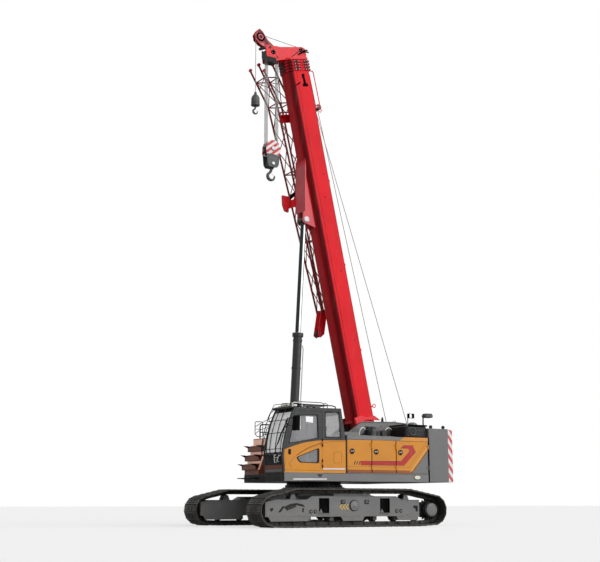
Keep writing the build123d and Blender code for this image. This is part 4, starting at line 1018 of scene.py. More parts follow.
deck = Piece("deck_parts")
deck.side("white", [(1.53, 1.15), (1.53, 1.184), (0.545, 1.194), (0.545, 1.16)], 1.5045, 0.003, 0.0005)
deck.side("dark", [(0.835, 1.3), (0.66, 1.3), (0.72, 1.222), (0.775, 1.222)], 1.5045, 0.003, 0.0005)
for sign in (-1, 1):
    for look, half_x, half_z, inner, depth in (("rubber", 0.112, 0.062, 1.503, 0.008),
                                               ("lime", 0.1, 0.05, 1.5105, 0.009)):
        deck.side(look, oval(-2.287, 1.245, half_x, half_z, 28), min(sign * inner, sign * (inner + depth)),
                  depth, 0.003)
    deck.bar("dark", (1.26, sign * 1.507, 1.124), (-2.68, sign * 1.507, 1.124), 0.006, 6)
    deck.bar("dark", (0.65, sign * 1.5065, 1.322), (-2.68, sign * 1.5065, 1.322), 0.0035, 6)
deck.block("black", (1.27, -1.5, 1.122), (1.282, -0.31, 1.326))
deck.block("black", (1.78, 0.525, 1.122), (1.79, 1.5, 1.326))
# prong that carries the folding step, in front of the right-hand steps
prong = [(1.27, 1.205), (1.27, 1.262), (1.33, 1.252), (1.52, 1.24), (1.52, 1.226), (1.33, 1.216)]
for y in (-1.46, -0.8):
    deck.side("black", prong, y, 0.04)
deck.bar("black", (1.505, -1.46, 1.233), (1.505, -0.76, 1.233), 0.012)
deck.done("upper", "black")


# Cab: gaskets, grooves, guards, rails and lamps

def framed(piece, look, points, y, width, thick):
    """A flat band that follows a closed outline in X-Z on its inside."""
    count = len(points)
    middle = Vector((sum(p[0] for p in points) / count, sum(p[1] for p in points) / count))
    inner = []
    for x, z in points:
        pull = middle - Vector((x, z))
        inner.append(Vector((x, z)) + pull.normalized() * width * 1.3)
    low, high = y, y + thick
    rings = [[(x, low, z) for x, z in points], [(x, high, z) for x, z in points],
             [(p.x, high, p.y) for p in inner], [(p.x, low, p.y) for p in inner]]
    piece.loft(look, rings, closed=True)


rear_window = [(0.59, 2.205), (0.59, 2.87), (0.15, 2.88), (0.1, 2.205)]
door_window = [(1.655, 2.03), (1.49, 2.75), (0.8, 2.78), (0.77, 2.18)]


def rounded(points, radius):
    """An outline in X-Z with its corners rounded."""
    steps = 4
    curve = []
    count = len(points)
    for k in range(count):
        corner = Vector(points[k])
        back = Vector(points[k - 1]) - corner
        ahead = Vector(points[(k + 1) % count]) - corner
        start = corner + back.normalized() * radius
        end = corner + ahead.normalized() * radius
        for j in range(steps + 1):
            t = j / steps
            curve.append(tuple(start * (1 - t) ** 2 + corner * 2 * t * (1 - t) + end * t * t))
    return curve


door = Piece("cab_door_parts")
framed(door, "rubber", rounded(door_window, 0.06), pane_face, 0.022, 0.008)
framed(door, "rubber", rounded([(1.44, 1.706), (0.765, 1.95), (0.765, 1.566), (1.345, 1.574)], 0.05),
       door_skin, 0.03, 0.006)
# handle in its recess
framed(door, "rubber", rounded(rectangle(1.668, 1.9, 1.59, 1.765), 0.025), door_skin, 0.012, 0.005)
door.side("black", rounded(rectangle(1.656, 1.888, 1.602, 1.777), 0.018), door_skin, 0.002, 0.0005)
door.tube("plastic", [(1.65, 1.502, 1.868), (1.645, 1.516, 1.86), (1.628, 1.52, 1.845), (1.628, 1.52, 1.805),
                      (1.64, 1.51, 1.792)], 0.008)
# pressed groove under the waist, a tube in painted shade
groove = [(1.41, 1.76), (1.28, 1.84), (1.15, 1.91), (0.96, 1.99), (0.76, 2.055), (0.68, 2.068)]
door.bend("shade", groove, door_skin, 0.013, 6)
door.bend("shade", [(1.56, 1.45), (1.64, 1.55), (1.5, 1.7), (1.41, 1.76)], door_skin, 0.005, 6)
waist_line = [(1.745, 1.905), (1.63, 1.948), (1.41, 2.018), (1.25, 2.062), (1.05, 2.102), (0.76, 2.138),
              (0.68, 2.141)]
door.bend("black", waist_line, door_skin, 0.004, 6)
for z in (1.492, 1.628, 2.012, 2.148):
    door.turned("black", (0.6725, 1.515, z - 0.032), (0, 0, 1),
                [(0, 0.0152), (0.001, 0.0162), (0.063, 0.0162), (0.064, 0.0152)], 16)
# inner grab rail seen through the glass
door.tube("plastic", [(1.12, 1.452, 2.2), (1.12, 1.43, 2.24), (1.06, 1.43, 2.6), (1.05, 1.452, 2.64)], 0.01)
door.done("cab_door", "rubber")

cab = Piece("cab_parts")
framed(cab, "rubber", rounded(rear_window, 0.06), pane_face, 0.024, 0.008)
# pressed groove along the cab's side and the line round its hatch, in painted shade
rear_groove = [(0.64, 2.085), (0.4, 2.112), (0.26, 2.12), (0.01, 2.124)]
cab.bend("shade", rear_groove, cab_skin, 0.006, 6)
cab.bend("black", [(0.66, 2.142), (0.3, 2.152), (-0.028, 2.158)], cab_skin, 0.004, 6)
hatch_line = rounded([(0.325, 1.858), (0.088, 1.864), (0.09, 1.588), (0.328, 1.586)], 0.035)
cab.bend("shade", hatch_line, cab_skin, 0.005, 6, closed=True)
cab.side("white", [(0.655, 1.408), (0.655, 1.444), (-0.01, 1.452), (-0.01, 1.416)], 1.5, 0.003, 0.0005)
cab.side("brown", [(0.655, 1.4), (0.655, 1.408), (-0.01, 1.416), (-0.01, 1.406)], 1.5, 0.002, 0.0004)
# dark joint between cab and hood
cab.block("black", (-0.078, 1.42, sill), (-0.034, 1.498, 2.285), 0.004)
cab.block("black", (-0.078, 0.56, sill), (-0.034, 1.4, 2.2), 0.004)
# dark bands down both front corners of the cab
for y0, y1 in ((1.446, 1.503), (0.537, 0.594)):
    front_edge = [(1.48, 2.945), (1.56, 2.78), (1.65, 2.56), (1.738, 2.29), (1.8, 2.02), (1.83, 1.75),
                  (1.812, 1.56), (1.794, sill)]
    rings = []
    for x, z in front_edge:
        rings.append([(x - 0.035, y0, z), (x + 0.006, y0, z), (x + 0.012, y0 + 0.01, z),
                      (x + 0.012, y1 - 0.012, z), (x + 0.004, y1, z), (x - 0.035, y1, z)])
    cab.loft("dark", rings)


def front_x(z):
    """How far forward the cab's curved front reaches at a height."""
    table = [(1.33, 1.79), (1.75, 1.826), (2.02, 1.795), (2.29, 1.734), (2.56, 1.643), (2.78, 1.548),
             (2.94, 1.475)]
    for (za, xa), (zb, xb) in zip(table, table[1:]):
        if z <= zb:
            return xa + (xb - xa) * (z - za) / (zb - za)
    return table[-1][1]


# lower front panel, black with a brown strip and a grey sill
for look, z0, z1, proud in (("black", 1.52, 1.745, 0.01), ("brown", 1.42, 1.515, 0.014),
                            ("grey", sill, 1.415, 0.018)):
    rings = []
    for z in (z0, (z0 + z1) / 2, z1):
        x = front_x(z)
        rings.append([(x - 0.01, 0.6, z), (x + proud, 0.6, z), (x + proud, 1.44, z), (x - 0.01, 1.44, z)])
    cab.loft(look, rings)
# guard bars in front of the windscreen, held at the roof and at the sill
for y, top_x, top_z in ((1.3, 1.52, 2.98), (1.02, 1.56, 2.99), (0.85, 1.56, 2.99), (0.6, 1.5, 2.98)):
    bars = [(top_x - 0.12, top_z - 0.01), (top_x, top_z), (1.665, 2.84), (1.785, 2.56), (1.862, 2.3),
            (1.905, 2.08), (1.925, 1.9), (1.905, 1.78), (1.835, 1.74)]
    cab.bend("black", bars, y, 0.012, 8)
for z in (1.9, 2.3, 2.62):
    x = front_x(z) + 0.105
    cab.tube("black", [(front_x(z) + 0.01, 0.56, z), (x, 0.6, z), (x, 0.95, z), (x, 1.3, z),
                       (front_x(z) + 0.012, 1.46, z)], 0.009, 8)
# grab rails at both front posts
for y in (1.475, 0.565):
    cab.bend("plastic", [(front_x(2.48) + 0.01, 2.48), (front_x(2.44) + 0.07, 2.44),
                         (front_x(2.1) + 0.075, 2.1), (front_x(1.8) + 0.07, 1.8),
                         (front_x(1.76) + 0.01, 1.76)], y, 0.011, 8)
# wiper with its arm
cab.tube("rubber", [(front_x(1.8) + 0.024, 1.15, 1.8), (front_x(1.95) + 0.034, 1.195, 1.95),
                    (front_x(2.3) + 0.036, 1.3, 2.3)], 0.01, 6)
cab.tube("void", [(front_x(2.02) + 0.02, 1.215, 2.02), (front_x(2.32) + 0.02, 1.31, 2.32),
                  (front_x(2.62) + 0.018, 1.405, 2.62)], 0.019, 6)
cab.turned("rubber", (front_x(1.8) + 0.004, 1.15, 1.8), (1, 0, 0.2),
           [(0, 0.032), (0.03, 0.03), (0.038, 0.02)], 16)
# pale brackets on the lower front panel
cab.tube("white", [(1.83, 1.18, 1.765), (1.884, 1.18, 1.755), (1.884, 1.205, 1.575), (1.812, 1.205, 1.565)],
         0.013, 8)
cab.tube("white", [(1.83, 1.415, 1.745), (1.884, 1.405, 1.735), (1.884, 1.31, 1.6), (1.812, 1.305, 1.59)],
         0.012, 8)
cab.bar("white", (1.884, 1.19, 1.69), (1.884, 1.372, 1.69), 0.011, 8)
# roof: rails, grille, caps, hoop and visor
for y in (1.34, 0.7):
    cab.bend("black", [(1.44, 2.945), (1.42, 3.015), (1.3, 3.035), (0.3, 3.035), (0.18, 3.015),
                       (0.16, cab_roof)], y, 0.014, 8)
    cab.bend("black", [(1.4, 3.02), (1.38, 3.085), (1.26, 3.098), (0.6, 3.098), (0.54, 3.08), (0.52, 3.04)],
             y, 0.01, 8)
for k in range(9):
    x = 1.36 - 0.125 * k
    cab.bar("black", (x, 0.7, 3.036), (x, 1.34, 3.036), 0.009, 6)
for x in (1.0, 0.82, 0.64):
    cab.turned("steel", (x, 1.18, cab_roof), (0, 0, 1), [(0, 0.045), (0.02, 0.045), (0.034, 0.03)], 20)
cab.bend("plastic", [(0.5, cab_roof), (0.49, 3.07), (0.44, 3.096), (0.38, 3.07), (0.37, cab_roof)], 1.28,
         0.009, 8)
visor = [(1.405, cab_roof), (1.605, 2.9), (1.655, 2.925), (1.63, 2.962), (1.42, 2.998)]
cab.side("black", visor, 0.64, 0.76, 0.004)
# pale visor tops with a faint painted glow
for y0, y1 in ((0.7, 0.92), (1.08, 1.3)):
    cab.plate("visor", [(1.43, y0, 3.0), (1.615, y0, 2.966), (1.615, y1, 2.966), (1.43, y1, 3.0)],
              (0.002, 0, 0.008), 0.001)
# pale bracket and small lamp at the roof's front corner
cab.bend("white", [(1.49, cab_roof), (1.5, 3.04), (1.44, 3.066), (1.26, 3.076), (1.215, 3.05),
                   (1.205, cab_roof)], 1.4, 0.013, 8)
cab.block("white", (1.36, 1.35, 2.965), (1.48, 1.425, 3.02), 0.012)
cab.bar("black", (1.3, 1.4, 2.96), (1.3, 1.4, 3.07), 0.01, 8)
# thin frame at the cab's right front corner
cab.bend("black", [(1.64, 2.6), (1.745, 2.705), (1.567, 3.04), (1.54, 3.06), (1.403, 3.074), (1.18, 3.09),
                   (1.15, cab_roof)], 0.6, 0.008, 8)
# right-hand mirror on its long frame, seen past the cab
hoop = [(1.255, -0.9, 2.73), (1.286, -0.9, 2.7), (1.286, -0.9, 2.403), (1.218, -0.9, 2.333),
        (1.085, -0.9, 2.333), (1.05, -0.9, 2.37), (1.05, -0.9, 2.7), (1.08, -0.9, 2.73)]
cab.tube("black", hoop, 0.01, 8, closed=True)
cab.bar("black", (1.052, -0.9, 2.53), (1.284, -0.9, 2.53), 0.007, 8)
cab.tube("steel", [(1.272, -0.9, 2.6), (1.33, -0.6, 2.64), (1.42, 0.3, 2.78), (1.5, 0.56, 2.84)], 0.01, 8)
cab.tube("steel", [(1.262, -0.9, 2.42), (1.34, -0.6, 2.46), (1.52, 0.3, 2.54), (1.66, 0.56, 2.58)], 0.01, 8)
cab.done("upper", "black")

mirror = Piece("left_mirror")
mirror_face = rounded([(1.8, 2.325), (1.632, 2.33), (1.628, 2.69), (1.772, 2.69)], 0.045)
mirror.side("void", mirror_face, 1.88, 0.15, 0.022)
mirror.plate("mirror", [(1.64, 1.9, 2.36), (1.64, 2.01, 2.36), (1.64, 2.01, 2.665), (1.64, 1.9, 2.665)],
             (-0.014, 0, 0))
mirror.tube("plastic", [(1.69, 1.475, 2.5), (1.745, 1.5, 2.56), (1.76, 1.62, 2.64), (1.75, 1.8, 2.65),
                        (1.735, 1.89, 2.64)], 0.014)
mirror.tube("plastic", [(1.69, 1.475, 2.4), (1.748, 1.5, 2.44), (1.765, 1.64, 2.47), (1.75, 1.89, 2.45)],
            0.01)
mirror.turned("plastic", (1.655, 1.475, 2.5), (1, 0.3, 0), [(0, 0.04), (0.03, 0.04), (0.036, 0.03)], 16)
mirror.done("upper", replaced=("mirrors",))

# Driver's room: consoles with levers, wheel, screen and seat
room = Piece("drivers_room")
for y0, y1 in ((1.312, 1.422), (0.595, 0.705)):
    room.block("trim", (0.42, y0, 1.377), (0.98, y1, 2.01), 0.03)
    room.tube("rubber", [(0.9, (y0 + y1) / 2, 2.0), (0.905, (y0 + y1) / 2, 2.08), (0.9, (y0 + y1) / 2, 2.14)],
              0.02, radii=[0.012, 0.012, 0.03])
room.bend("rubber", [(1.46, 1.4), (1.42, 1.8), (1.34, 2.06)], 1.02, 0.03)
room.turned("rubber", (1.34, 1.02, 2.06), (-0.25, 0, 1), [(0, 0.04), (0.03, 0.04), (0.036, 0.03)], 20)
room.tube("rubber", [(1.33 + 0.17 * cos(2 * pi * k / 28) * 0.97, 1.02 + 0.17 * sin(2 * pi * k / 28), 2.1
                      + 0.17 * cos(2 * pi * k / 28) * 0.25) for k in range(28)], 0.014, 8, closed=True)
room.block("plastic", (1.46, 0.66, 2.05), (1.5, 0.9, 2.24), 0.01)
room.block("seat", (0.42, 0.79, 1.86), (0.93, 1.25, 1.98), 0.05)
room.side("seat", [(0.45, 1.95), (0.56, 1.95), (0.44, 2.52), (0.34, 2.52)], 0.8, 0.44, 0.03)
room.side("seat", [(0.43, 2.54), (0.49, 2.54), (0.46, 2.72), (0.39, 2.72)], 0.9, 0.24, 0.02)
room.turned("rubber", (0.62, 1.02, 1.376), (0, 0, 1),
            [(0, 0.19), (0.06, 0.185), (0.1, 0.12), (0.2, 0.115), (0.3, 0.13), (0.4, 0.15), (0.485, 0.17)],
            24)
room.done("upper", "seat", replaced=("cab_fittings",))



# Service doors: latch with its lock, hinge bolts, slats on the right

def door_latch(piece, x, outer):
    skin = outer * hood_skin
    # painted shade in the recessed ring round the latch
    piece.hoop("shade", (x, skin, 1.89), (0, outer, 0),
               [(-0.002, 0.05), (-0.002, 0.078), (0.006, 0.078), (0.008, 0.074), (0.008, 0.05)], 28)
    piece.turned("black", (x - 0.012, skin, 1.89), (0, outer, 0),
                 [(0, 0.0645), (0.0165, 0.064), (0.019, 0.058)], 28)
    piece.turned("steel", (x + 0.02, skin + outer * 0.018, 1.89), (0, outer, 0), [(0, 0.018), (0.005, 0.016)],
                 16)
    piece.block("steel", (x - 0.045, min(skin + outer * 0.017, skin + outer * 0.024), 1.872),
                (x - 0.012, max(skin + outer * 0.017, skin + outer * 0.024), 1.908), 0.004)


left_doors = [(-0.1, -0.832), (-0.85, -1.606), (-1.624, hood_rear)]
right_doors = [(-0.13, -1.29), (-1.31, hood_rear)]
for outer, side, doors in ((1, "left", left_doors), (-1, "right", right_doors)):
    for number, (x0, x1) in enumerate(doors):
        fitted = Piece(f"door_parts_{side}_{number + 1}")
        door_latch(fitted, x0 - 0.12, outer)
        for z in (1.5, 2.04):
            fitted.bolt("black", (x1 + 0.045, outer * 1.504, z + 0.032), (0, outer, 0), 0.007)
        if side == "right":
            for k in range(14):
                z = 1.5 + 0.04 * k
                far = x0 - 0.28
                near = x1 + 0.12
                fitted.plate("black", [(far, -1.499, z), (far, -1.512, z + 0.004), (far, -1.499, z + 0.022)],
                             (near - far, 0, 0), 0.001)
        fitted.done(f"service_door_{side}_{number + 1}", "black")

hood = Piece("hood_parts")
hood.mirrored("grey", (-2.68, 1.47, 2.192), (-0.085, 1.503, 2.284), 0.008)
# painted shade in the groove along the hoods' lower edge
for outer in (1, -1):
    hood.bar("shade", (-0.085, outer * hood_skin, 1.348), (-2.1, outer * hood_skin, 1.348), 0.004, 6)
hood.side("yellow", [(-1.73, 2.195), (-1.89, 2.292), (-2.654, 2.292), (-2.654, 2.195)], 1.5032, 0.003, 0.0006)
# dark joints between the doors and between the hoods and the counterweight
for x in (-0.841, -1.615):
    hood.block("void", (x - 0.0085, 1.484, 1.35), (x + 0.0085, 1.502, 2.19), 0.001)
hood.mirrored("void", (-2.706, 1.44, 1.128), (-2.656, 1.5062, 2.3), 0.003)
hood.mirrored("void", (-2.706, 1.44, 2.3), (-2.6985, 1.503, weight_top), 0.002)
# top covers with their bolts
for x0, x1 in ((-0.1, -0.82), (-0.84, -1.6)):
    hood.mirrored("grey", (x1, 0.56, 2.288), (x0, 1.44, 2.304))
    for x in (x0 - 0.08, x1 + 0.08):
        for y in (-1.38, -0.62, 0.62, 1.38):
            hood.bolt("dark", (x, y, 2.304), (0, 0, 1), 0.009)
# slanted cover towards the cab, white grab hoops and hoses
hood.side("grey", [(-0.1, 2.29), (-0.44, 2.42), (-0.86, 2.42), (-0.86, 2.29)], 0.47, 0.42, 0.004)
for x0, x1, top in ((-0.9, -1.135, 2.55), (-1.7, -2.025, 2.565)):
    curve = []
    for k in range(17):
        angle = pi * k / 16
        curve.append(((x0 + x1) / 2 + (x0 - x1) / 2 * cos(angle), 0.84, 2.3
                      + (top - 2.3) * sin(angle) ** 0.8))
    hood.tube("white", curve, 0.016, 8)
    hood.tube("rubber", [(p[0] - 0.06, 0.94, 2.3 + (p[2] - 2.3) * 0.75) for p in curve], 0.014, 8)
# filters, pipes and valves between the hoods
hood.turned("black", (-1.18, 0.84, 2.3), (0, 0, 1),
            [(0, 0.06), (0.05, 0.06), (0.06, 0.095), (0.2, 0.095), (0.25, 0.06), (0.29, 0.03)], 24)
hood.turned("cast", (-1.34, 0.84, 2.3), (0, 0, 1),
            [(0, 0.11), (0.16, 0.11), (0.2, 0.08), (0.27, 0.08), (0.29, 0.06)], 24)
hood.turned("dark", (-1.62, 0.8, 2.4), (0, 1, 0), both_ways([(-0.2, 0.085), (-0.19, 0.095)]), 28)
hood.block("dark", (-1.52, 0.66, 2.296), (-1.4, 0.95, 2.47), 0.015)
hood.tube("rubber", [(-1.2, 0.7, 2.33), (-1.3, 0.66, 2.46), (-1.45, 0.64, 2.5), (-1.7, 0.62, 2.46),
                     (-1.86, 0.62, 2.33)], 0.024, 10)
hood.tube("dark", [(-1.05, 0.62, 2.32), (-1.2, 0.6, 2.42), (-1.6, 0.58, 2.44), (-1.95, 0.58, 2.44),
                   (-2.02, 0.6, 2.32)], 0.018, 10)
# lip in front of the air housing, given from high x to low x, which leaves its ends slanted
hood.block("grey", (-1.96, 0.74, 2.6), (-2.04, 1.44, 2.612), 0.003)
hood.done("upper", "grey")

housing = Piece("air_housing_dressed")
housing.block("black", (-2.682, 0.742, 2.292), (-1.962, 1.44, 2.604), 0.03)
for k in range(7):
    z = 2.33 + 0.036 * k
    housing.plate("dark", [(-2.05, 1.438, z), (-2.05, 1.45, z + 0.004), (-2.05, 1.438, z + 0.022)],
                  (-0.56, 0, 0), 0.001)
housing.hoop("cast", (-2.2, 1.438, 2.46), (0, 1, 0), [(0, 0.09), (0, 0.11), (0.022, 0.11), (0.022, 0.09)], 32)
for k in range(3):
    angle = pi * k / 3
    housing.bar("cast", (-2.2 - 0.1 * cos(angle), 1.45, 2.46 - 0.1 * sin(angle)),
                (-2.2 + 0.1 * cos(angle), 1.45, 2.46 + 0.1 * sin(angle)), 0.007, 8)
housing.turned("grey", (-2.52, 1.02, 2.602), (0, 0, 1),
               [(0, 0.142), (0.06, 0.14), (0.092, 0.118), (0.116, 0.086), (0.13, 0.044), (0.133, 0.01)], 32)
housing.block("void", (-2.682, 1.4, 2.596), (-1.962, 1.442, 2.64), 0.008)
for x in (-2.7, -1.97):
    housing.block("black", (x, 0.742, 2.6), (x + 0.03, 1.44, 2.64), 0.006)
housing.done("upper", "black", replaced=("air_housing",))

# Centre plates: edge strips, bolts, bosses of the boom's pin, boxes beside them, beacon and rear ring
plates = Piece("top_parts")
edge = [(1.11, 1.455), (0.76, 1.764), (-0.08, 1.854), (-0.79, 2.374), (-1.26, 2.734), (-2.3, 2.764),
        (-2.678, 2.744)]
for y in (0.398, -0.398):
    for (xa, za), (xb, zb) in zip(edge, edge[1:]):
        plates.side("grey", [(xa, za - 0.004), (xb, zb - 0.004), (xb, zb + 0.01), (xa, za + 0.01)], y - 0.045,
                    0.09, 0.002)
    for x, z in ((-0.2, 1.8), (-0.6, 2.12), (-1.0, 2.44), (-1.4, 2.62), (-1.9, 2.64), (-2.5, 2.62)):
        out = 1 if y > 0 else -1
        plates.bolt("dark", (x, y + out * 0.019, z), (0, out, 0), 0.013)
    for sign in (-1, 1):
        plates.turned("grey", (pivot.x, y + sign * 0.02, pivot.z), (0, sign, 0),
                      [(0, 0.15), (0.03, 0.15), (0.036, 0.14), (0.036, 0.09), (0.056, 0.086), (0.06, 0.076)],
                      36)
        plates.bolts("steel", (pivot.x, y + sign * 0.054, pivot.z), (0, sign, 0), 0.118, 8, 0.011)
plates.block("black", (-2.672, 0.43, 2.3), (-2.56, 0.735, 2.7), 0.02)
plates.block("grey", (-2.56, 0.43, 2.292), (-1.98, 0.735, 2.56), 0.02)
# beacon on the left plate
plates.turned("black", (-1.964, 0.4, 2.76), (0, 0, 1),
              [(0, 0.042), (0.014, 0.042), (0.02, 0.034), (0.075, 0.032), (0.11, 0.022), (0.135, 0.008)], 24)
plates.bend("steel", oval(-2.66, 2.775, 0.06, 0.07, 24), 0.0, 0.01, closed=True)
plates.done("upper", "grey")

rear = Piece("rear_lamps")
# camera and its post on the counterweight's top, right of the middle
rear.bar("black", (-3.11, 0.02, weight_top), (-3.11, 0.02, 2.945), 0.012, 10)
for x, lip in ((-3.133, -3.172), (-3.297, -3.258)):
    rear.block("void", (x - 0.011, -0.03, 2.93), (x + 0.011, 0.07, 3.062), 0.006)
    for z in (2.93, 3.044):
        rear.block("void", (min(x, lip), -0.03, z), (max(x, lip), 0.07, z + 0.018), 0.004)
rear.bar("steel", (-3.15, 0.02, 2.938), (-3.28, 0.02, 2.938), 0.006, 8)
# guide roller of the rear winch rope on its bracket
for sign in (-1, 1):
    low = rope_lanes[0] + sign * 0.034 - 0.004
    rear.side("black", [(-3.15, weight_top), (-2.97, weight_top), (-3.02, 2.725), (-3.06, 2.75),
                        (-3.1, 2.725)], low, 0.008, 0.002)
rear.turned("cast", (rear_roller[0], rope_lanes[0], rear_roller[1]), (0, 1, 0),
            both_ways([(-0.029, 0.096), (-0.024, 0.096), (-0.01, 0.085)]), 32)
rear.bar("steel", (rear_roller[0], -0.098, rear_roller[1]), (rear_roller[0], -0.012, rear_roller[1]), 0.014,
         12)
# work lamp
rear.bar("dark", (-3.355, 0.4, weight_top), (-3.36, 0.4, 2.93), 0.02, 12)
rear.bend("dark", [(-3.36, 2.9), (-3.37, 2.95), (-3.43, 2.975)], 0.4, 0.018, 10)
rear.block("cast", (-3.64, 0.3, 2.93), (-3.375, 0.5, 3.03), 0.022)
for k in range(5):
    rear.block("dark", (-3.61 + 0.045 * k, 0.31, 3.03), (-3.594 + 0.045 * k, 0.49, 3.046), 0.003)
rear.block("lamp", (-3.65, 0.32, 2.945), (-3.638, 0.48, 3.016), 0.004)
for x, y in ((-2.86, 1.38), (-3.28, 1.38), (-2.86, -1.38), (-3.28, -1.38)):
    rear.turned("black", (x, y - 0.024, 2.6), (0, 1, 0),
                [(0, 0.04), (0.006, 0.046), (0.042, 0.046), (0.048, 0.04)], 20)
for sign in (-1, 1):
    for z, look in ((1.42, "signal_red"), (1.56, "amber"), (1.7, "lamp")):
        rear.turned(look, (rear_face, sign * 0.85, z), (-1, 0, 0), [(0, 0.055), (0.012, 0.052), (0.02, 0.03)],
                    24)
        rear.hoop("rubber", (rear_face, sign * 0.85, z), (-1, 0, 0),
                  [(0, 0.054), (0, 0.066), (0.014, 0.066), (0.014, 0.054)], 24)
for z in (1.38, 2.3):
    rear.bar("dark", (-3.852, -1.04, z), (-3.852, 1.04, z), 0.006, 6)
rear.hoop("dark", (-3.845, 0, 1.85), (-1, 0, 0), [(0, 0.075), (0, 0.1), (0.014, 0.1), (0.014, 0.075)], 32)
rear.done("upper", "black")

# Tank: filler cap, straps, sight gauge and cover
tank = Piece("tank_parts")
tank.turned("black", (0.2, -1.08, 2.33), (0, 0, 1), [(0, 0.07), (0.01, 0.082), (0.04, 0.082), (0.05, 0.07)],
            24)
tank.bolts("steel", (0.2, -1.08, tank_top), (0, 0, 1), 0.095, 8, 0.007)
for x in (0.02, 0.78):
    tank.block("dark", (x - 0.025, -1.509, 1.36), (x + 0.025, -1.504, 2.22), 0.002)
tank.block("white", (0.43, -1.512, 1.62), (0.47, -1.503, 2.02), 0.004)
for z in (1.6, 2.04):
    tank.bolt("steel", (0.45, -1.503, z), (0, -1, 0), 0.014)
tank.turned("dark", (0.55, -0.92, tank_top), (0, 0, 1), [(0, 0.15), (0.014, 0.15), (0.02, 0.14)], 32)
tank.bolts("steel", (0.55, -0.92, 2.298), (0, 0, 1), 0.125, 10, 0.008)
tank.done("upper", "dark")

# Steps on the right: bright treads, dark grips
stairs = Piece("step_parts")
treads = [(1.27, 1.6), (1.18, 1.84), (1.09, 2.09), (1.0, 2.28)]
for number, (x, z) in enumerate(treads):
    back = treads[number + 1][0] if number < 3 else 0.905
    stairs.block("copper", (back + 0.004, -1.496, z + 0.001), (x + 0.012, -0.724, z + 0.016), 0.004)
    for k in range(6):
        y = -1.42 + 0.125 * k
        stairs.bar("brown", (back + 0.02, y, z + 0.017), (x, y, z + 0.017), 0.005, 6)
    if number < 3:
        stairs.block("brown", (x + 0.004, -1.5, z - 0.15), (x + 0.095, -0.73, z - 0.01), 0.01)
        stairs.block("copper", (x + 0.0, -1.5, z - 0.01), (x + 0.1, -0.73, z + 0.002), 0.003)
        grip = [(x + 0.02, z - 0.12), (x + 0.1, z - 0.04), (x + 0.23, z + 0.01), (x + 0.12, z + 0.012),
                (x + 0.02, z - 0.004)]
        for y in (-1.502, -0.79):
            stairs.side("black", grip, y, 0.06, 0.003)
# pale risers, the lip over the front panel and the slanted edge strip: a lighter copy of the steps' colour
# with a faint glow, painted light on the faces towards the front
for x, z0, z1 in ((1.18, 1.62, 1.688), (1.09, 1.86, 1.938), (1.0, 2.11, 2.276)):
    stairs.block("painted_light_peach", (x + 0.001, -1.496, z0), (x + 0.007, -0.728, z1), 0.002)
stairs.block("painted_light_peach", (1.268, -1.5, 1.452), (1.284, -0.726, 1.478), 0.003)
stairs.side("painted_light_peach", [(1.284, 1.455), (1.248, 1.455), (0.99, 2.16), (1.022, 2.18)], -0.7185, 0.006, 0.001)
stairs.done("upper", "brown")

rails = Piece("tubular_handrails")
rail_y = -1.46
hoop = [(0.82, tank_top), (0.82, 2.62), (0.812, 2.668), (0.782, 2.697), (0.74, 2.702), (0.14, 2.702),
        (0.098, 2.697), (0.068, 2.668), (0.06, 2.62), (0.06, tank_top)]
rails.bend("black", hoop, rail_y, 0.018, 12)
rails.bend("black", [(0.82, 2.49), (0.06, 2.49)], rail_y, 0.014, 10)
for x in (0.82, 0.06):
    rails.turned("black", (x, rail_y, 2.2805), (0, 0, 1), [(0, 0.042), (0.008, 0.042), (0.012, 0.03)], 20)
rails.done("upper", replaced=("handrails",))

# Winches: drums wound with rope, flanges with bolts
drums = Piece("winch_drums")
for x, z, radius in (upper_drum, lower_drum):
    steps = [(-0.335, radius - 0.006)]
    turns = 34
    for k in range(turns):
        y = -0.318 + 0.636 * (k + 0.5) / turns
        steps += [(y - 0.0085, radius - 0.002), (y - 0.004, radius + 0.0055), (y + 0.004, radius + 0.0055),
                  (y + 0.0085, radius - 0.002)]
    steps.append((0.335, radius - 0.006))
    drums.turned("rope", (x, 0, z), (0, 1, 0), steps, 40)
    for sign in (-1, 1):
        drums.turned("dark", (x, sign * 0.322, z), (0, sign, 0),
                     [(0, radius + 0.055), (0.022, radius + 0.055), (0.028, radius + 0.046), (0.028, 0.11),
                      (0.05, 0.1), (0.056, 0.09)], 40)
        drums.bolts("steel", (x, sign * 0.35, z), (0, sign, 0), radius * 0.75, 10, 0.011)
drums.done("upper", "dark", replaced=("winches",))


# Boom base: weld seams, guides, rails, foot flange and rope rests

boom = Piece("boom_base_parts")
for sign in (-1, 1):
    side_y = sign * boom_skin
    boom.bar("boom_dark", boom_point(0.545, 0.335, side_y), boom_point(5.2, 0.296, side_y), 0.005, 6)
    boom.bar("boom_dark", boom_point(5.2, 0.296, side_y), boom_point(10.35, 0.296, side_y), 0.005, 6)
    boom.bar("boom_dark", boom_point(0.545, -0.112, side_y), boom_point(10.35, -0.112, side_y), 0.005, 6)
    for s, n in ((7.376, 0.03), (6.726, 0.122), (4.627, 0.05), (2.691, 0.03)):
        boom.turned("black", boom_point(s, n, side_y), (0, sign, 0),
                    [(0, 0.016), (0.008, 0.016), (0.012, 0.01)], 12)
    low = side_y if sign > 0 else side_y - 0.006
    boom.slanted("void", [(10.265, 0.05), (10.265, 0.13), (10.19, 0.15), (10.1, 0.125), (9.99, 0.125),
                          (9.96, 0.172), (9.895, 0.165), (9.9, -0.01), (9.972, -0.006), (9.985, 0.04),
                          (10.15, 0.058)], low, 0.006)
    boom.slanted("void", [(9.915, 0.392), (9.945, 0.404), (10.03, 0.238), (9.998, 0.224)], low, 0.006)
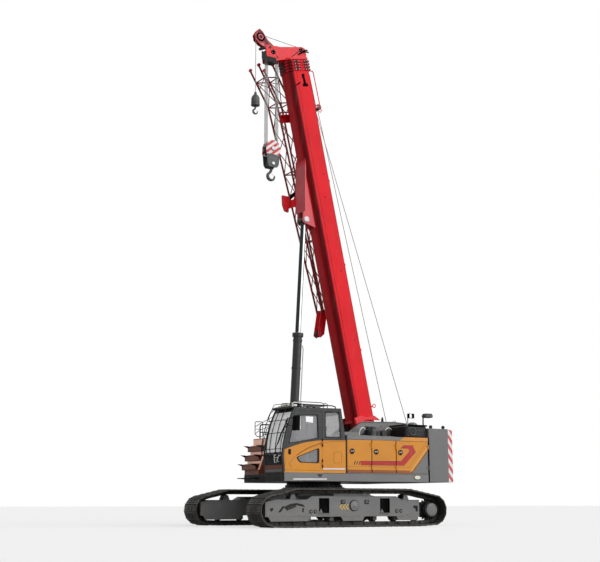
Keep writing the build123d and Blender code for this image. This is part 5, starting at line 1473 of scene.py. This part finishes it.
# rail along the boom's back with its two stays and the pair of guide rollers at its foot
for sign in (-1, 1):
    y = sign * 0.105
    boom.slanted_tube("boom", [(10.4, -0.17), (10.395, -0.36), (10.34, -0.385), (9.46, -0.4), (9.4, -0.38),
                               (9.395, -0.137)], y, 0.014)
    boom.slanted("boom_dark", [(9.42, -0.3), (9.42, -0.405), (9.33, -0.43), (9.27, -0.4), (9.27, -0.33),
                               (9.34, -0.3)], y + sign * 0.012 - 0.006, 0.012)
boom.bar("black", boom_point(9.31, -0.372, -0.13), boom_point(9.31, -0.372, 0.13), 0.016, 12)
for y in rope_lanes:
    boom.turned("cast", boom_point(9.31, -0.372, y), (0, 1, 0),
                both_ways([(-0.04, 0.05), (-0.034, 0.05), (-0.01, 0.034)]), 24)
boom.slanted_tube("boom", [(9.33, -0.4), (9.24, -0.43), (9.19, -0.38), (9.22, -0.33)], 0.1, 0.01, 8)
# flange round the boom's foot with its pointed lugs, and the towing ring
for sign in (-1, 1):
    low = 0.296 if sign > 0 else -0.322
    boom.slanted("boom", [(0.64, 0.3), (0.62, 0.52), (0.47, 0.545), (0.45, 0.45), (0.5, 0.11), (0.45, -0.08),
                          (0.405, -0.3), (0.53, -0.175), (0.58, -0.1), (0.56, 0.1)], low, 0.026, 0.004)
    boom.slanted_block("boom", 0.44, 0.56, 0.3, 0.54, min(sign * 0.304, sign * 0.376),
                       max(sign * 0.304, sign * 0.376))
    boom.turned("boom_dark", boom_point(0.0, 0.0, sign * 0.282), (0, sign, 0),
                [(0, 0.118), (0.01, 0.118), (0.016, 0.108), (0.016, 0.075)], 36)
boom.slanted_tube("boom", oval(0.812, -0.405, 0.046, 0.046, 24), 0.0, 0.011, 8, closed=True)
boom.slanted("boom", [(0.86, -0.13), (0.77, -0.13), (0.795, -0.372), (0.829, -0.372)], -0.01, 0.02)
# forked arm that reaches in front of the boom to the stowed jib
boom.slanted("boom", [(7.014, 1.005), (6.956, 0.786), (6.521, 0.911), (6.572, 1.016), (6.745, 1.046)], -0.54,
             0.08, 0.004)
boom.slanted("boom", [(6.831, 0.846), (6.891, 0.466), (6.677, 0.512), (6.62, 0.891)], -0.54, 0.3, 0.004)
boom.slanted("black", [(6.97, 0.783), (7.125, 0.516), (7.021, 0.471), (6.882, 0.752)], -0.54, 0.06, 0.003)
# rope rest rollers on the boom's back
for s in (2.4, 4.8, 7.2):
    for sign in (-1, 1):
        boom.slanted("boom", [(s - 0.07, -0.134), (s + 0.07, -0.134), (s + 0.03, -0.225), (s - 0.03, -0.225)],
                     sign * 0.15 - 0.007, 0.014)
    boom.bar("cast", boom_point(s, -0.195, -0.15), boom_point(s, -0.195, 0.15), 0.026, 16)
# bolts of the cylinder bracket and its pin cover
for sign in (-1, 1):
    boom.turned("steel", boom_point(*rod_eye, sign * 0.162), (0, sign, 0),
                [(0, 0.085), (0.012, 0.085), (0.018, 0.074), (0.018, 0.03)], 28)
    boom.bolts("steel", boom_point(*rod_eye, sign * 0.174), (0, sign, 0), 0.056, 6, 0.011)
    boom.bar("boom_dark", boom_point(5.92, 0.528, sign * 0.165), boom_point(7.84, 0.528, sign * 0.165), 0.006,
             6)
boom.done("boom_base", "boom")

# Collars: dark slide pads with their bolts, and the black end stops
bodies = ["boom_base", "boom_section_2", "boom_section_3", "boom_section_4"]
for number, body in enumerate(bodies):
    collar = Piece(f"collar_pads_{number + 1}")
    s0 = 10.358 + 0.08 * number
    s1 = s0 + 0.054
    for sign in (-1, 1):
        for n0, n1 in ((-0.12, 0.01), (0.17, 0.34)):
            y0, y1 = sorted((sign * 0.303, sign * 0.317))
            collar.slanted_block("black", s0 + 0.006, s1 - 0.006, n0, n1, y0, y1, 0.003)
            for n in (n0 + 0.03, n1 - 0.03):
                collar.bolt("steel", boom_point((s0 + s1) / 2, n, sign * 0.316), (0, sign, 0), 0.01)
        y0, y1 = sorted((sign * 0.15, sign * 0.29))
        collar.slanted_block("black", s0 + 0.004, s1 - 0.004, -0.186, -0.158, y0, y1, 0.004)
        collar.bar("boom_dark", boom_point(s1 - 0.01, -0.15, sign * 0.304),
                   boom_point(s1 - 0.01, 0.38, sign * 0.304), 0.006, 6)
    # painted shadow: a dark strip under the collar
    collar.slanted_block("shadow_red", s0 + 0.004, s1 - 0.004, 0.548, 0.566, -0.16, 0.16, 0.004)
    collar.done(body, "black")


# Head: sheaves, pins, guards and the rooster above

def sheave(piece, look, centre, groove, rim, half, sides=48):
    """A rope wheel: groove and rim are radii, half is half its width."""
    wide = 0.0095
    steps = both_ways([(-half, rim * 0.26), (-half * 0.45, rim * 0.32), (-half * 0.45, groove * 0.8),
                       (-half, groove * 0.9), (-half, rim - 0.003), (-half + 0.003, rim),
                       (-wide, groove + 0.004), (-wide * 0.5, groove - 0.002)])
    piece.turned(look, centre, (0, 1, 0), steps, sides)


main_sheave = boom_point(10.818, 0.841)
rooster = Vector((1.735, 0, 13.27))
main_ys = (-0.078, -0.026, 0.026, 0.078)
wheels = Piece("head_wheels")
for y in main_ys:
    sheave(wheels, "cast", main_sheave + Vector((0, y, 0)), *main_sizes)
sheave(wheels, "cast", rooster, *rooster_sizes)
wheels.done("boom_section_5", replaced=("head_sheaves",))

head = Piece("head_parts")
for y in (-0.06, 0.06):
    sheave(head, "cast", boom_point(10.98, -0.045, y), 0.095, 0.12, 0.022, 36)
for sign in (-1, 1):
    outer_y = sign * head_skin
    for s, n, radius, proud in ((10.921, 0.885, 0.068, 0.01), (11.059, 0.958, 0.036, 0.01),
                                (10.98, -0.045, 0.06, 0.0)):
        head.turned("void", boom_point(s, n, outer_y + sign * proud), (0, sign, 0),
                    [(0, radius), (0.012, radius), (0.018, radius - 0.01), (0.018, radius * 0.4)], 28)
        head.bolts("steel", boom_point(s, n, outer_y + sign * (proud + 0.012)), (0, sign, 0), radius * 0.68,
                   4, 0.007, 0.5)
    # guard plate and neck plate beside the sheaves, on the left side
    low = min(outer_y, outer_y + sign * 0.01)
    if sign > 0:
        head.slanted("black", [(10.886, 1.272), (10.948, 1.152), (10.804, 1.12), (10.784, 1.046),
                               (10.749, 0.828), (10.598, 0.86), (10.647, 1.106), (10.682, 1.292)], outer_y,
                     0.012)
        head.slanted("boom", [(11.12, 1.085), (11.134, 0.973), (10.956, 0.792), (10.749, 0.828),
                              (10.804, 1.118), (10.983, 1.113)], outer_y, 0.01)
    # slanted strips at a weld and the stiffeners on the head's sides, in painted shadow
    head.slanted("shadow_red", [(10.76, 0.382), (10.738, 0.376), (10.96, -0.026), (10.982, -0.014)], low, 0.01)
    low = min(outer_y + sign * 0.01, outer_y + sign * 0.015)
    head.slanted("shadow_red", [(10.842, 0.818), (10.822, 0.818), (10.727, 0.745), (10.745, 0.745)], low, 0.005)
# arm and lamp bracket at the head's back corner
head.tube("void", [boom_point(10.853, 0.066, 0.205), boom_point(10.88, -0.01, 0.222),
                   boom_point(10.937, -0.146, 0.222)], 0.022, 8)
head.slanted_block("black", 10.905, 10.975, -0.205, -0.13, 0.185, 0.25, 0.008)
head.slanted_block("dull_red", 10.945, 10.985, -0.25, -0.2, 0.195, 0.24, 0.006)
# the bracket's lower dark red block is painted shadow
head.slanted_block("shadow_red", 10.89, 10.925, -0.275, -0.22, 0.195, 0.24, 0.006)
head.bar("steel", boom_point(10.915, -0.18, 0.215), boom_point(10.907, -0.23, 0.215), 0.008, 8)
# rooster: cheek plates with their round holes, spacer and keeper
cheek = [(11.06, 0.78), (11.15, 0.74), (11.32, 0.9), (11.56, 1.01), (11.65, 1.1), (11.59, 1.19),
         (11.48, 1.29), (11.33, 1.29), (11.2, 1.18), (11.09, 1.0)]
for sign in (-1, 1):
    low = sign * 0.062 - 0.005
    head.slanted("dull_red", cheek, low, 0.01, 0.003)
    face = sign * 0.0675
    head.turned("void", rooster + Vector((0, face, 0)), (0, sign, 0),
                [(0, 0.134), (0.004, 0.134), (0.006, 0.128)], 36)
    # on each cheek: the pale ring round the pin and the pale strip are painted highlights; the dark ring
    # round the keeper, the boss and the dark strip are painted shadow
    head.hoop("highlight_red", rooster + Vector((0, face, 0)), (0, sign, 0),
              [(0.005, 0.05), (0.005, 0.08), (0.014, 0.076), (0.014, 0.054)], 32)
    head.hoop("shadow_red", boom_point(11.56, 1.1, face), (0, sign, 0),
              [(0, 0.026), (0, 0.05), (0.008, 0.048), (0.008, 0.028)], 24)
    head.turned("shadow_red", rooster + Vector((0, face, 0)), (0, sign, 0),
                [(0.005, 0.04), (0.02, 0.038), (0.026, 0.026)], 20)
    low = min(face, face + sign * 0.004)
    head.slanted("shadow_red", [(11.539, 1.04), (11.181, 0.882), (11.194, 0.985), (11.32, 1.045)], low, 0.004)
    head.slanted("highlight_red", [(11.222, 1.196), (11.221, 1.051), (11.139, 1.053), (11.128, 1.07)], low, 0.004)
head.slanted("black", [(11.042, 1.266), (11.083, 1.235), (11.139, 1.053), (11.056, 1.01), (11.001, 1.229)],
             0.0675, 0.008)
head.bar("boom_dark", boom_point(11.59, 1.1, -0.06), boom_point(11.59, 1.1, 0.06), 0.02, 12)
head.bar("boom_dark", boom_point(11.26, 1.21, -0.06), boom_point(11.26, 1.21, 0.06), 0.018, 12)
head.done("boom_section_5", "boom")

# Ropes
main_x = main_sheave.x
hang = main_sizes[0] + rope + rope_gap
block_pin = Vector((main_x, 0, 10.08))
falls = Piece("main_ropes")
for y in main_ys:
    for sign in (-1, 1):
        falls.bend("rope", [(main_x + sign * hang, main_sheave.z), (main_x + sign * hang, block_pin.z)], y,
                   rope, 10)
falls.done(None, "rope", replaced=("main_falls",),
           blend=("main_falls", "main_block", (main_x, 0, main_sheave.z), (main_x, 0, block_pin.z)))
over = Piece("main_rope_bends")
for y in main_ys:
    over.bend("rope", arc(main_x, main_sheave.z, hang, pi, 18), y, rope, 10)
over.done("main_falls", "rope")
aux_x = rooster.x + rooster_sizes[0] + rope + rope_gap
aux_top = 11.65
single = Piece("aux_rope")
single.bend("rope", [(aux_x, rooster.z), (aux_x, aux_top - 0.01)], 0, rope, 10)
single.done(None, "rope", replaced=("aux_fall",), blend=("aux_fall", "aux_hook", (aux_x, 0, rooster.z),
                                                         (aux_x, 0, aux_top)))
bend = Piece("aux_rope_bend")
reach = rooster_sizes[0] + rope + rope_gap
start_turn = radians(62)
bend.bend("rope", arc(rooster.x, rooster.z, reach, start_turn, 8), 0, rope, 10)
bend.done("aux_fall", "rope")
back = Piece("head_ropes")
leave = rooster + Vector((cos(start_turn), 0, sin(start_turn))) * reach
guide_top = boom_point(11.105, -0.045)
back.tube("rope", [leave, guide_top + Vector((0, 0.06, 0))], rope, 10)
back.tube("rope", [boom_point(10.98 + 0.105 * sin(pi * k / 12 * 1.15),
                              -0.045 - 0.105 * cos(pi * k / 12 * 1.15), 0.06) for k in range(11)], rope, 10)
for y in (-0.06, 0.06):
    back.slanted_tube("rope", [(10.7, rope_n), (10.98, -0.15)], y, rope)
back.tube("rope", [boom_point(10.98 + 0.105 * sin(pi * k / 12), -0.045 - 0.105 * cos(pi * k / 12), -0.06)
                   for k in range(7)] + [boom_point(10.975, 0.705, -0.026)], rope, 10)
back.done("boom_section_5", "rope")
guide_s = 9.31
guide_n = -0.331
along_boom = Piece("base_ropes")
for y in rope_lanes:
    along_boom.slanted_tube("rope", [(guide_s, guide_n), (9.7, -0.215), (10.38, rope_n)], y, rope)
along_boom.done("boom_base", "rope")
for number in range(4):
    run = Piece(f"rope_run_{number + 2}")
    s0 = 10.38 + 0.08 * number
    for y in rope_lanes:
        run.slanted_tube("rope", [(s0, rope_n), (s0 + 0.08, rope_n)], y, rope * 0.98)
    near = "boom_base" if number == 0 else f"boom_section_{number + 1}"
    run.done(None, "rope", blend=(near, f"boom_section_{number + 2}", boom_point(s0, 0),
                                  boom_point(s0 + 0.08, 0)))
# from each drum to the guide rollers
for name, y, (x, z), radius in (("front", rope_lanes[1], lower_drum[:2], lower_drum[2] + rope),
                                ("rear", rope_lanes[0], rear_roller, rear_reach)):
    guide = boom_point(guide_s, guide_n, y)
    to_drum = Vector((x, 0, z)) - guide
    turn = atan2(to_drum.z, to_drum.x)
    far = hypot(to_drum.x, to_drum.z)
    lean = radius / far
    direction = turn - lean
    touch = guide + Vector((cos(direction), 0, sin(direction))) * far
    touch.y = y
    line = Piece(f"winch_rope_{name}")
    line.tube("rope", [touch, guide], rope, 10)
    line.done(None, "rope", blend=("upper", "boom_base", touch, guide))

# round the guide roller and on to the upper drum
roller = Vector((rear_roller[0], rope_lanes[0], rear_roller[1]))
drum = Vector((upper_drum[0], rope_lanes[0], upper_drum[1]))
drum_reach = upper_drum[2] + rope
slope = atan2(drum.z - roller.z, drum.x - roller.x)
gap = (drum - roller).length
cross = slope + asin((drum_reach + rear_reach) / gap)
first_turn = radians(161)
swing = 2 * pi + cross - pi / 2 - first_turn
turns = [first_turn + swing * k / 12 for k in range(13)]
wrap = [roller + Vector((cos(t), 0, sin(t))) * rear_reach for t in turns]
landing = drum + Vector((cos(cross + pi / 2), 0, sin(cross + pi / 2))) * drum_reach
lead = Piece("rear_rope_lead")
lead.tube("rope", wrap + [landing], rope, 10)
lead.done("upper", "rope")


# Hooks

def forged_hook(piece, look, x, z, size):
    """A swept hook with a section that is thickest at the bottom, hung at x, z; size is its bowl's radius."""
    centre = Vector((x, 0, z - 2.1 * size))
    path = [Vector((x, 0, z)), Vector((x, 0, z - 0.45 * size)), Vector((x + 0.1 * size, 0, z - 0.75 * size))]
    radii = [0.36, 0.36, 0.38]
    for k in range(17):
        angle = radians(62 - 15.3 * k)
        path.append(centre + Vector((cos(angle), 0, sin(angle))) * size)
        radii.append(0.3 + 0.14 * sin(pi * min(1.0, k / 11.0)) - 0.012 * max(0, k - 11) ** 1.3)
    path.append(path[-1] + Vector((-0.1, 0, 0.22)) * size)
    radii.append(0.1)
    piece.tube(look, path, 0, 16, radii=[size * r for r in radii])
    piece.plate("steel", [centre + Vector((0.62, 0, 1.02)) * size, centre + Vector((0.48, 0, 1.08)) * size,
                          centre + Vector((-0.92, 0, 0.42)) * size, centre + Vector((-0.86, 0, 0.28)) * size],
                (0, 0.012, 0), 0.002)


block = Piece("main_hook_block")
for y in main_ys:
    sheave(block, "cast", block_pin + Vector((0, y, 0)), *main_sizes)
upper_cheek = [(main_x - 0.215, 9.92), (main_x + 0.215, 9.92), (main_x + 0.22, 10.1), (main_x + 0.17, 10.26),
               (main_x + 0.08, 10.325), (main_x - 0.08, 10.325), (main_x - 0.17, 10.26),
               (main_x - 0.22, 10.1)]
lower_cheek = [(main_x - 0.12, 9.56), (main_x + 0.12, 9.56), (main_x + 0.175, 9.64), (main_x + 0.2, 9.912),
               (main_x - 0.2, 9.912), (main_x - 0.175, 9.64)]
for sign in (-1, 1):
    low = sign * 0.116 - 0.008
    block.side("warning", upper_cheek, low, 0.016, 0.003)
    block.side("cast", lower_cheek, low, 0.016, 0.003)
    block.turned("steel", (main_x, sign * 0.124, 10.08), (0, sign, 0),
                 [(0, 0.062), (0.016, 0.06), (0.022, 0.048)], 28)
    block.turned("steel", (main_x, sign * 0.124, 9.66), (0, sign, 0),
                 [(0, 0.05), (0.014, 0.048), (0.02, 0.036)], 28)
    for dx, z in ((-0.14, 9.965), (0.14, 9.965), (-0.12, 10.22), (0.12, 10.22)):
        block.bolt("steel", (main_x + dx, sign * 0.124, z), (0, sign, 0), 0.014)
block.block("cast", (main_x - 0.125, -0.107, 9.585), (main_x + 0.125, 0.107, 9.725), 0.02)
for dx in (-0.185, 0.185):
    block.bar("steel", (main_x + dx, -0.108, 10.16), (main_x + dx, 0.108, 10.16), 0.013, 12)
block.turned("cast", (main_x, 0, 9.59), (0, 0, -1), [(0, 0.075), (0.03, 0.075), (0.04, 0.05), (0.06, 0.046)],
             28)
forged_hook(block, "cast", main_x, 9.545, 0.105)
block.done("main_block", "cast", replaced=("main_block",))

ball = Piece("auxiliary_hook")
ball.turned("cast", (aux_x, 0, 11.65), (0, 0, -1),
            [(0, 0.02), (0.01, 0.034), (0.055, 0.036), (0.07, 0.044), (0.11, 0.082), (0.15, 0.106),
             (0.2, 0.116), (0.345, 0.118), (0.358, 0.112), (0.362, 0.122), (0.388, 0.122), (0.396, 0.11),
             (0.4, 0.04), (0.43, 0.036)], 40)
ball.turned("steel", (aux_x, 0, 11.655), (0, 0, 1), [(0, 0.016), (0.05, 0.018), (0.08, 0.01)], 16)
forged_hook(ball, "cast", aux_x, 11.23, 0.066)
ball.done("aux_hook", "cast", replaced=("aux_hook",))

# Stowed jib: round tubes, end plates, tip sheave and bracket plates
# each station holds s, n of its two faces and y of its two sides
jib_stations = [(10.74, 1.02, 0.56, -0.44, -0.93), (9.65, 0.66, 0.21, -0.44, -0.915),
                (3.65, 0.45, 0.23, -0.42, -0.68)]


def jib_node(s, face, side):
    for low, high in zip(jib_stations[1:], jib_stations[:-1]):
        if s >= low[0]:
            share = (s - low[0]) / (high[0] - low[0])
            row = [a + (b - a) * share for a, b in zip(low, high)]
            return boom_point(s, row[1 + face], row[3 + side])
    return boom_point(s, jib_stations[-1][1 + face], jib_stations[-1][3 + side])


jib = Piece("lattice_jib")
top, knee, tip = (row[0] for row in jib_stations)
bays = 9
bay = (knee - tip) / bays
corners = [(0, 0), (0, 1), (1, 1), (1, 0)]
for face, side in corners:
    jib.tube("boom_dark", [jib_node(tip, face, side), jib_node(knee, face, side), jib_node(top, face, side)],
             0.028, 14)
    for k in range(bays + 1):
        node = jib_node(tip + k * bay, face, side)
        jib.turned("boom_dark", node - along * 0.05, along, [(0, 0.03), (0.1, 0.03)], 14)
    end = jib_node(top, face, side)
    jib.turned("boom", end + along * 0.03 + Vector((0, 0.03, 0)), (0, -1, 0), [(0, 0.045), (0.06, 0.045)], 20)
    jib.turned("black", end + along * 0.03 + Vector((0, 0.032, 0)), (0, -1, 0), [(0, 0.02), (0.064, 0.02)],
               14)
for first, second in zip(corners, corners[1:] + corners[:1]):
    for k in range(bays):
        low, high = (first, second) if k % 2 else (second, first)
        jib.bar("boom_dark", jib_node(tip + k * bay, *low), jib_node(tip + (k + 1) * bay, *high), 0.013, 10)
    for s in (tip, tip + 3 * bay, tip + 6 * bay, knee, top - 0.34):
        jib.bar("boom_dark", jib_node(s, *first), jib_node(s, *second), 0.018, 10)
    jib.bar("boom_dark", jib_node(knee, *first), jib_node(top - 0.34, *second), 0.013, 10)
    jib.bar("boom_dark", jib_node(top - 0.34, *first), jib_node((knee + top) / 2, *second), 0.011, 8)
for y in (-0.44, -0.66):
    jib.slanted("boom", [(tip + 0.04, 0.24), (tip + 0.04, 0.45), (tip - 0.64, 0.72), (tip - 0.72, 0.64),
                         (tip - 0.64, 0.5)], y - 0.009, 0.018, 0.004)
tip_sheave = boom_point(tip - 0.6, 0.62, -0.55)
sheave(jib, "cast", tip_sheave, 0.078, 0.1, 0.022, 36)
jib.bar("steel", tip_sheave + Vector((0, -0.13, 0)), tip_sheave + Vector((0, 0.13, 0)), 0.026, 16)
# bracket plates that hold the jib to the boom, and the turning bracket higher up
for s0, s1, n0, n1 in ((6.52, 6.98, 0.52, 0.64), (9.06, 9.3, 0.3, 0.62)):
    jib.slanted("boom", [(s0, n0 - 0.16), (s1, n0 - 0.16), (s1, n1), (s1 - 0.1, n1 + 0.06),
                         (s0 + 0.1, n1 + 0.06), (s0, n1)], -0.416, 0.014, 0.003)
jib.done("boom_base", "boom", replaced=("jib",))

pads = Piece("jib_brackets")
for s in (6.75, 9.3):
    front = jib_node(s, 0, 0)
    back_node = jib_node(s, 1, 0)
    high_n = (front - pivot).dot(below)
    low_n = (back_node - pivot).dot(below)
    for far in (-0.045, 0.045):
        start_y = front.y + 0.03
        pads.slanted("boom", rectangle(s + far - 0.006, low_n - 0.03, s + far + 0.006, high_n + 0.05),
                     start_y, -boom_skin - start_y, 0.001)
    for n in (low_n, high_n):
        pads.bar("steel", boom_point(s - 0.055, n, front.y + 0.06), boom_point(s + 0.055, n, front.y + 0.06),
                 0.02, 14)
pads.done("boom_base", "boom", replaced=("jib_carriers",))

# Luffing cylinder: gland bolts, wiper ring, pipes with their clamps
foot = Vector((cylinder_foot[0], 0, cylinder_foot[1]))
axis = (boom_point(*rod_eye) - foot).normalized()
cylinder = Piece("cylinder_parts")
cylinder.bolts("steel", foot + axis * gland, axis, 0.125, 12, 0.014)
cylinder.turned("black", foot + axis * gland, axis, [(0, 0.1), (0.014, 0.098), (0.02, 0.082), (0.02, 0.0775)],
                32)
for far in (0.55, 1.55, 2.55, 3.3):
    cylinder.hoop("dark", foot + axis * far, axis, [(0, 0.117), (0, 0.128), (0.05, 0.128), (0.05, 0.117)], 40)
for y in (0.06, -0.06):
    face = axis.cross(Vector((0, 1, 0))) * 0.118
    pipe = [foot + axis * 0.45 + face * 0.9, foot + axis * 0.5 + face * 1.3, foot + axis * 3.1 + face * 1.3,
            foot + axis * 3.2 + face * 1.05]
    cylinder.tube("steel", [p + Vector((0, y, 0)) for p in pipe], 0.012, 8)
cylinder.turned("cast", foot + axis * 0.42, axis.cross(Vector((0, 1, 0))),
                [(0.06, 0.075), (0.15, 0.075), (0.165, 0.06)], 20)
cylinder.done("luff_barrel", "dark")


# Camera: at the photograph's viewpoint

camera_data = bpy.data.cameras.new("camera")
camera_data.sensor_width = 36
camera_data.lens = 67.28
camera = bpy.data.objects.new("camera", camera_data)
bpy.context.scene.collection.objects.link(camera)
bpy.context.scene.camera = camera
viewpoint = (15.896, 25.608, 0.5876)
camera_pitch = radians(11.1985)
camera_turn = radians(31.1418)
looking = Vector((-sin(camera_turn) * cos(camera_pitch), -cos(camera_turn) * cos(camera_pitch),
                  sin(camera_pitch)))
rightwards = Vector((-cos(camera_turn), sin(camera_turn), 0))
upwards = rightwards.cross(looking)
basis = Matrix((rightwards, upwards, -looking)).transposed()
camera.matrix_world = Matrix.Translation(viewpoint) @ basis.to_4x4()
camera_data.clip_end = 400


# Light, floor and background

bpy.context.scene.view_settings.view_transform = "Standard"


def ray_shares(tree):
    """1 for camera and transmission rays, and 1 for glossy rays."""
    rays = tree.add("ShaderNodeLightPath")
    seen = tree.math("MAXIMUM", rays.outputs["Is Camera Ray"], rays.outputs["Is Transmission Ray"])
    return seen, rays.outputs["Is Glossy Ray"]


# The background is white where it is seen, fainter in reflections and faint as a light
world_light = 0.26
world_in_gloss = 0.7
world = bpy.data.worlds.new("studio")
bpy.context.scene.world = world
world.use_nodes = True
sky = Tree(world.node_tree)
seen, glossy = ray_shares(sky)
share = sky.math("MAXIMUM", seen, sky.math("MULTIPLY", glossy, world_in_gloss))
background = world.node_tree.nodes["Background"]
background.inputs["Color"].default_value = (1, 1, 1, 1)
sky.link(sky.span(share, 0.0, 1.0, world_light, 1.0), background.inputs["Strength"])


def sun(name, place, power, degrees_wide):
    """A soft sun that shines from a place towards the machine's middle."""
    data = bpy.data.lights.new(name, "SUN")
    data.energy = power
    data.angle = radians(degrees_wide)
    light = bpy.data.objects.new(name, data)
    bpy.context.scene.collection.objects.link(light)
    light.location = place
    light.rotation_mode = "QUATERNION"
    light.rotation_quaternion = (Vector((0, 0, 4)) - Vector(place)).to_track_quat("-Z", "Y")


sun("key", (-9, 15, 14), 2.6, 80)
sun("fill", (20, 10, 12), 0.12, 40)

floor_reach = 160
floor_mesh = bpy.data.meshes.new("floor")
floor_mesh.from_pydata([(x * floor_reach, y * floor_reach, 0) for x,
                        y in ((-1, -1), (1, -1), (1, 1), (-1, 1))], [], [(0, 1, 2, 3)])
floor = bpy.data.objects.new("floor", floor_mesh)
bpy.context.scene.collection.objects.link(floor)
floor.location.z = -0.002
floor_look = Nodes("floor")
seen, _ = ray_shares(floor_look)
floor_look.put("Base Color", (0.4, 0.4, 0.4, 1))
floor_look.put("Roughness", 0.9)
floor_look.put("Specular IOR Level", 0.0)
floor_look.put("Emission Color", (1, 1, 1, 1))
floor_look.put("Emission Strength", floor_look.math("MULTIPLY", seen, 0.6))
floor_mesh.materials.append(floor_look.material)
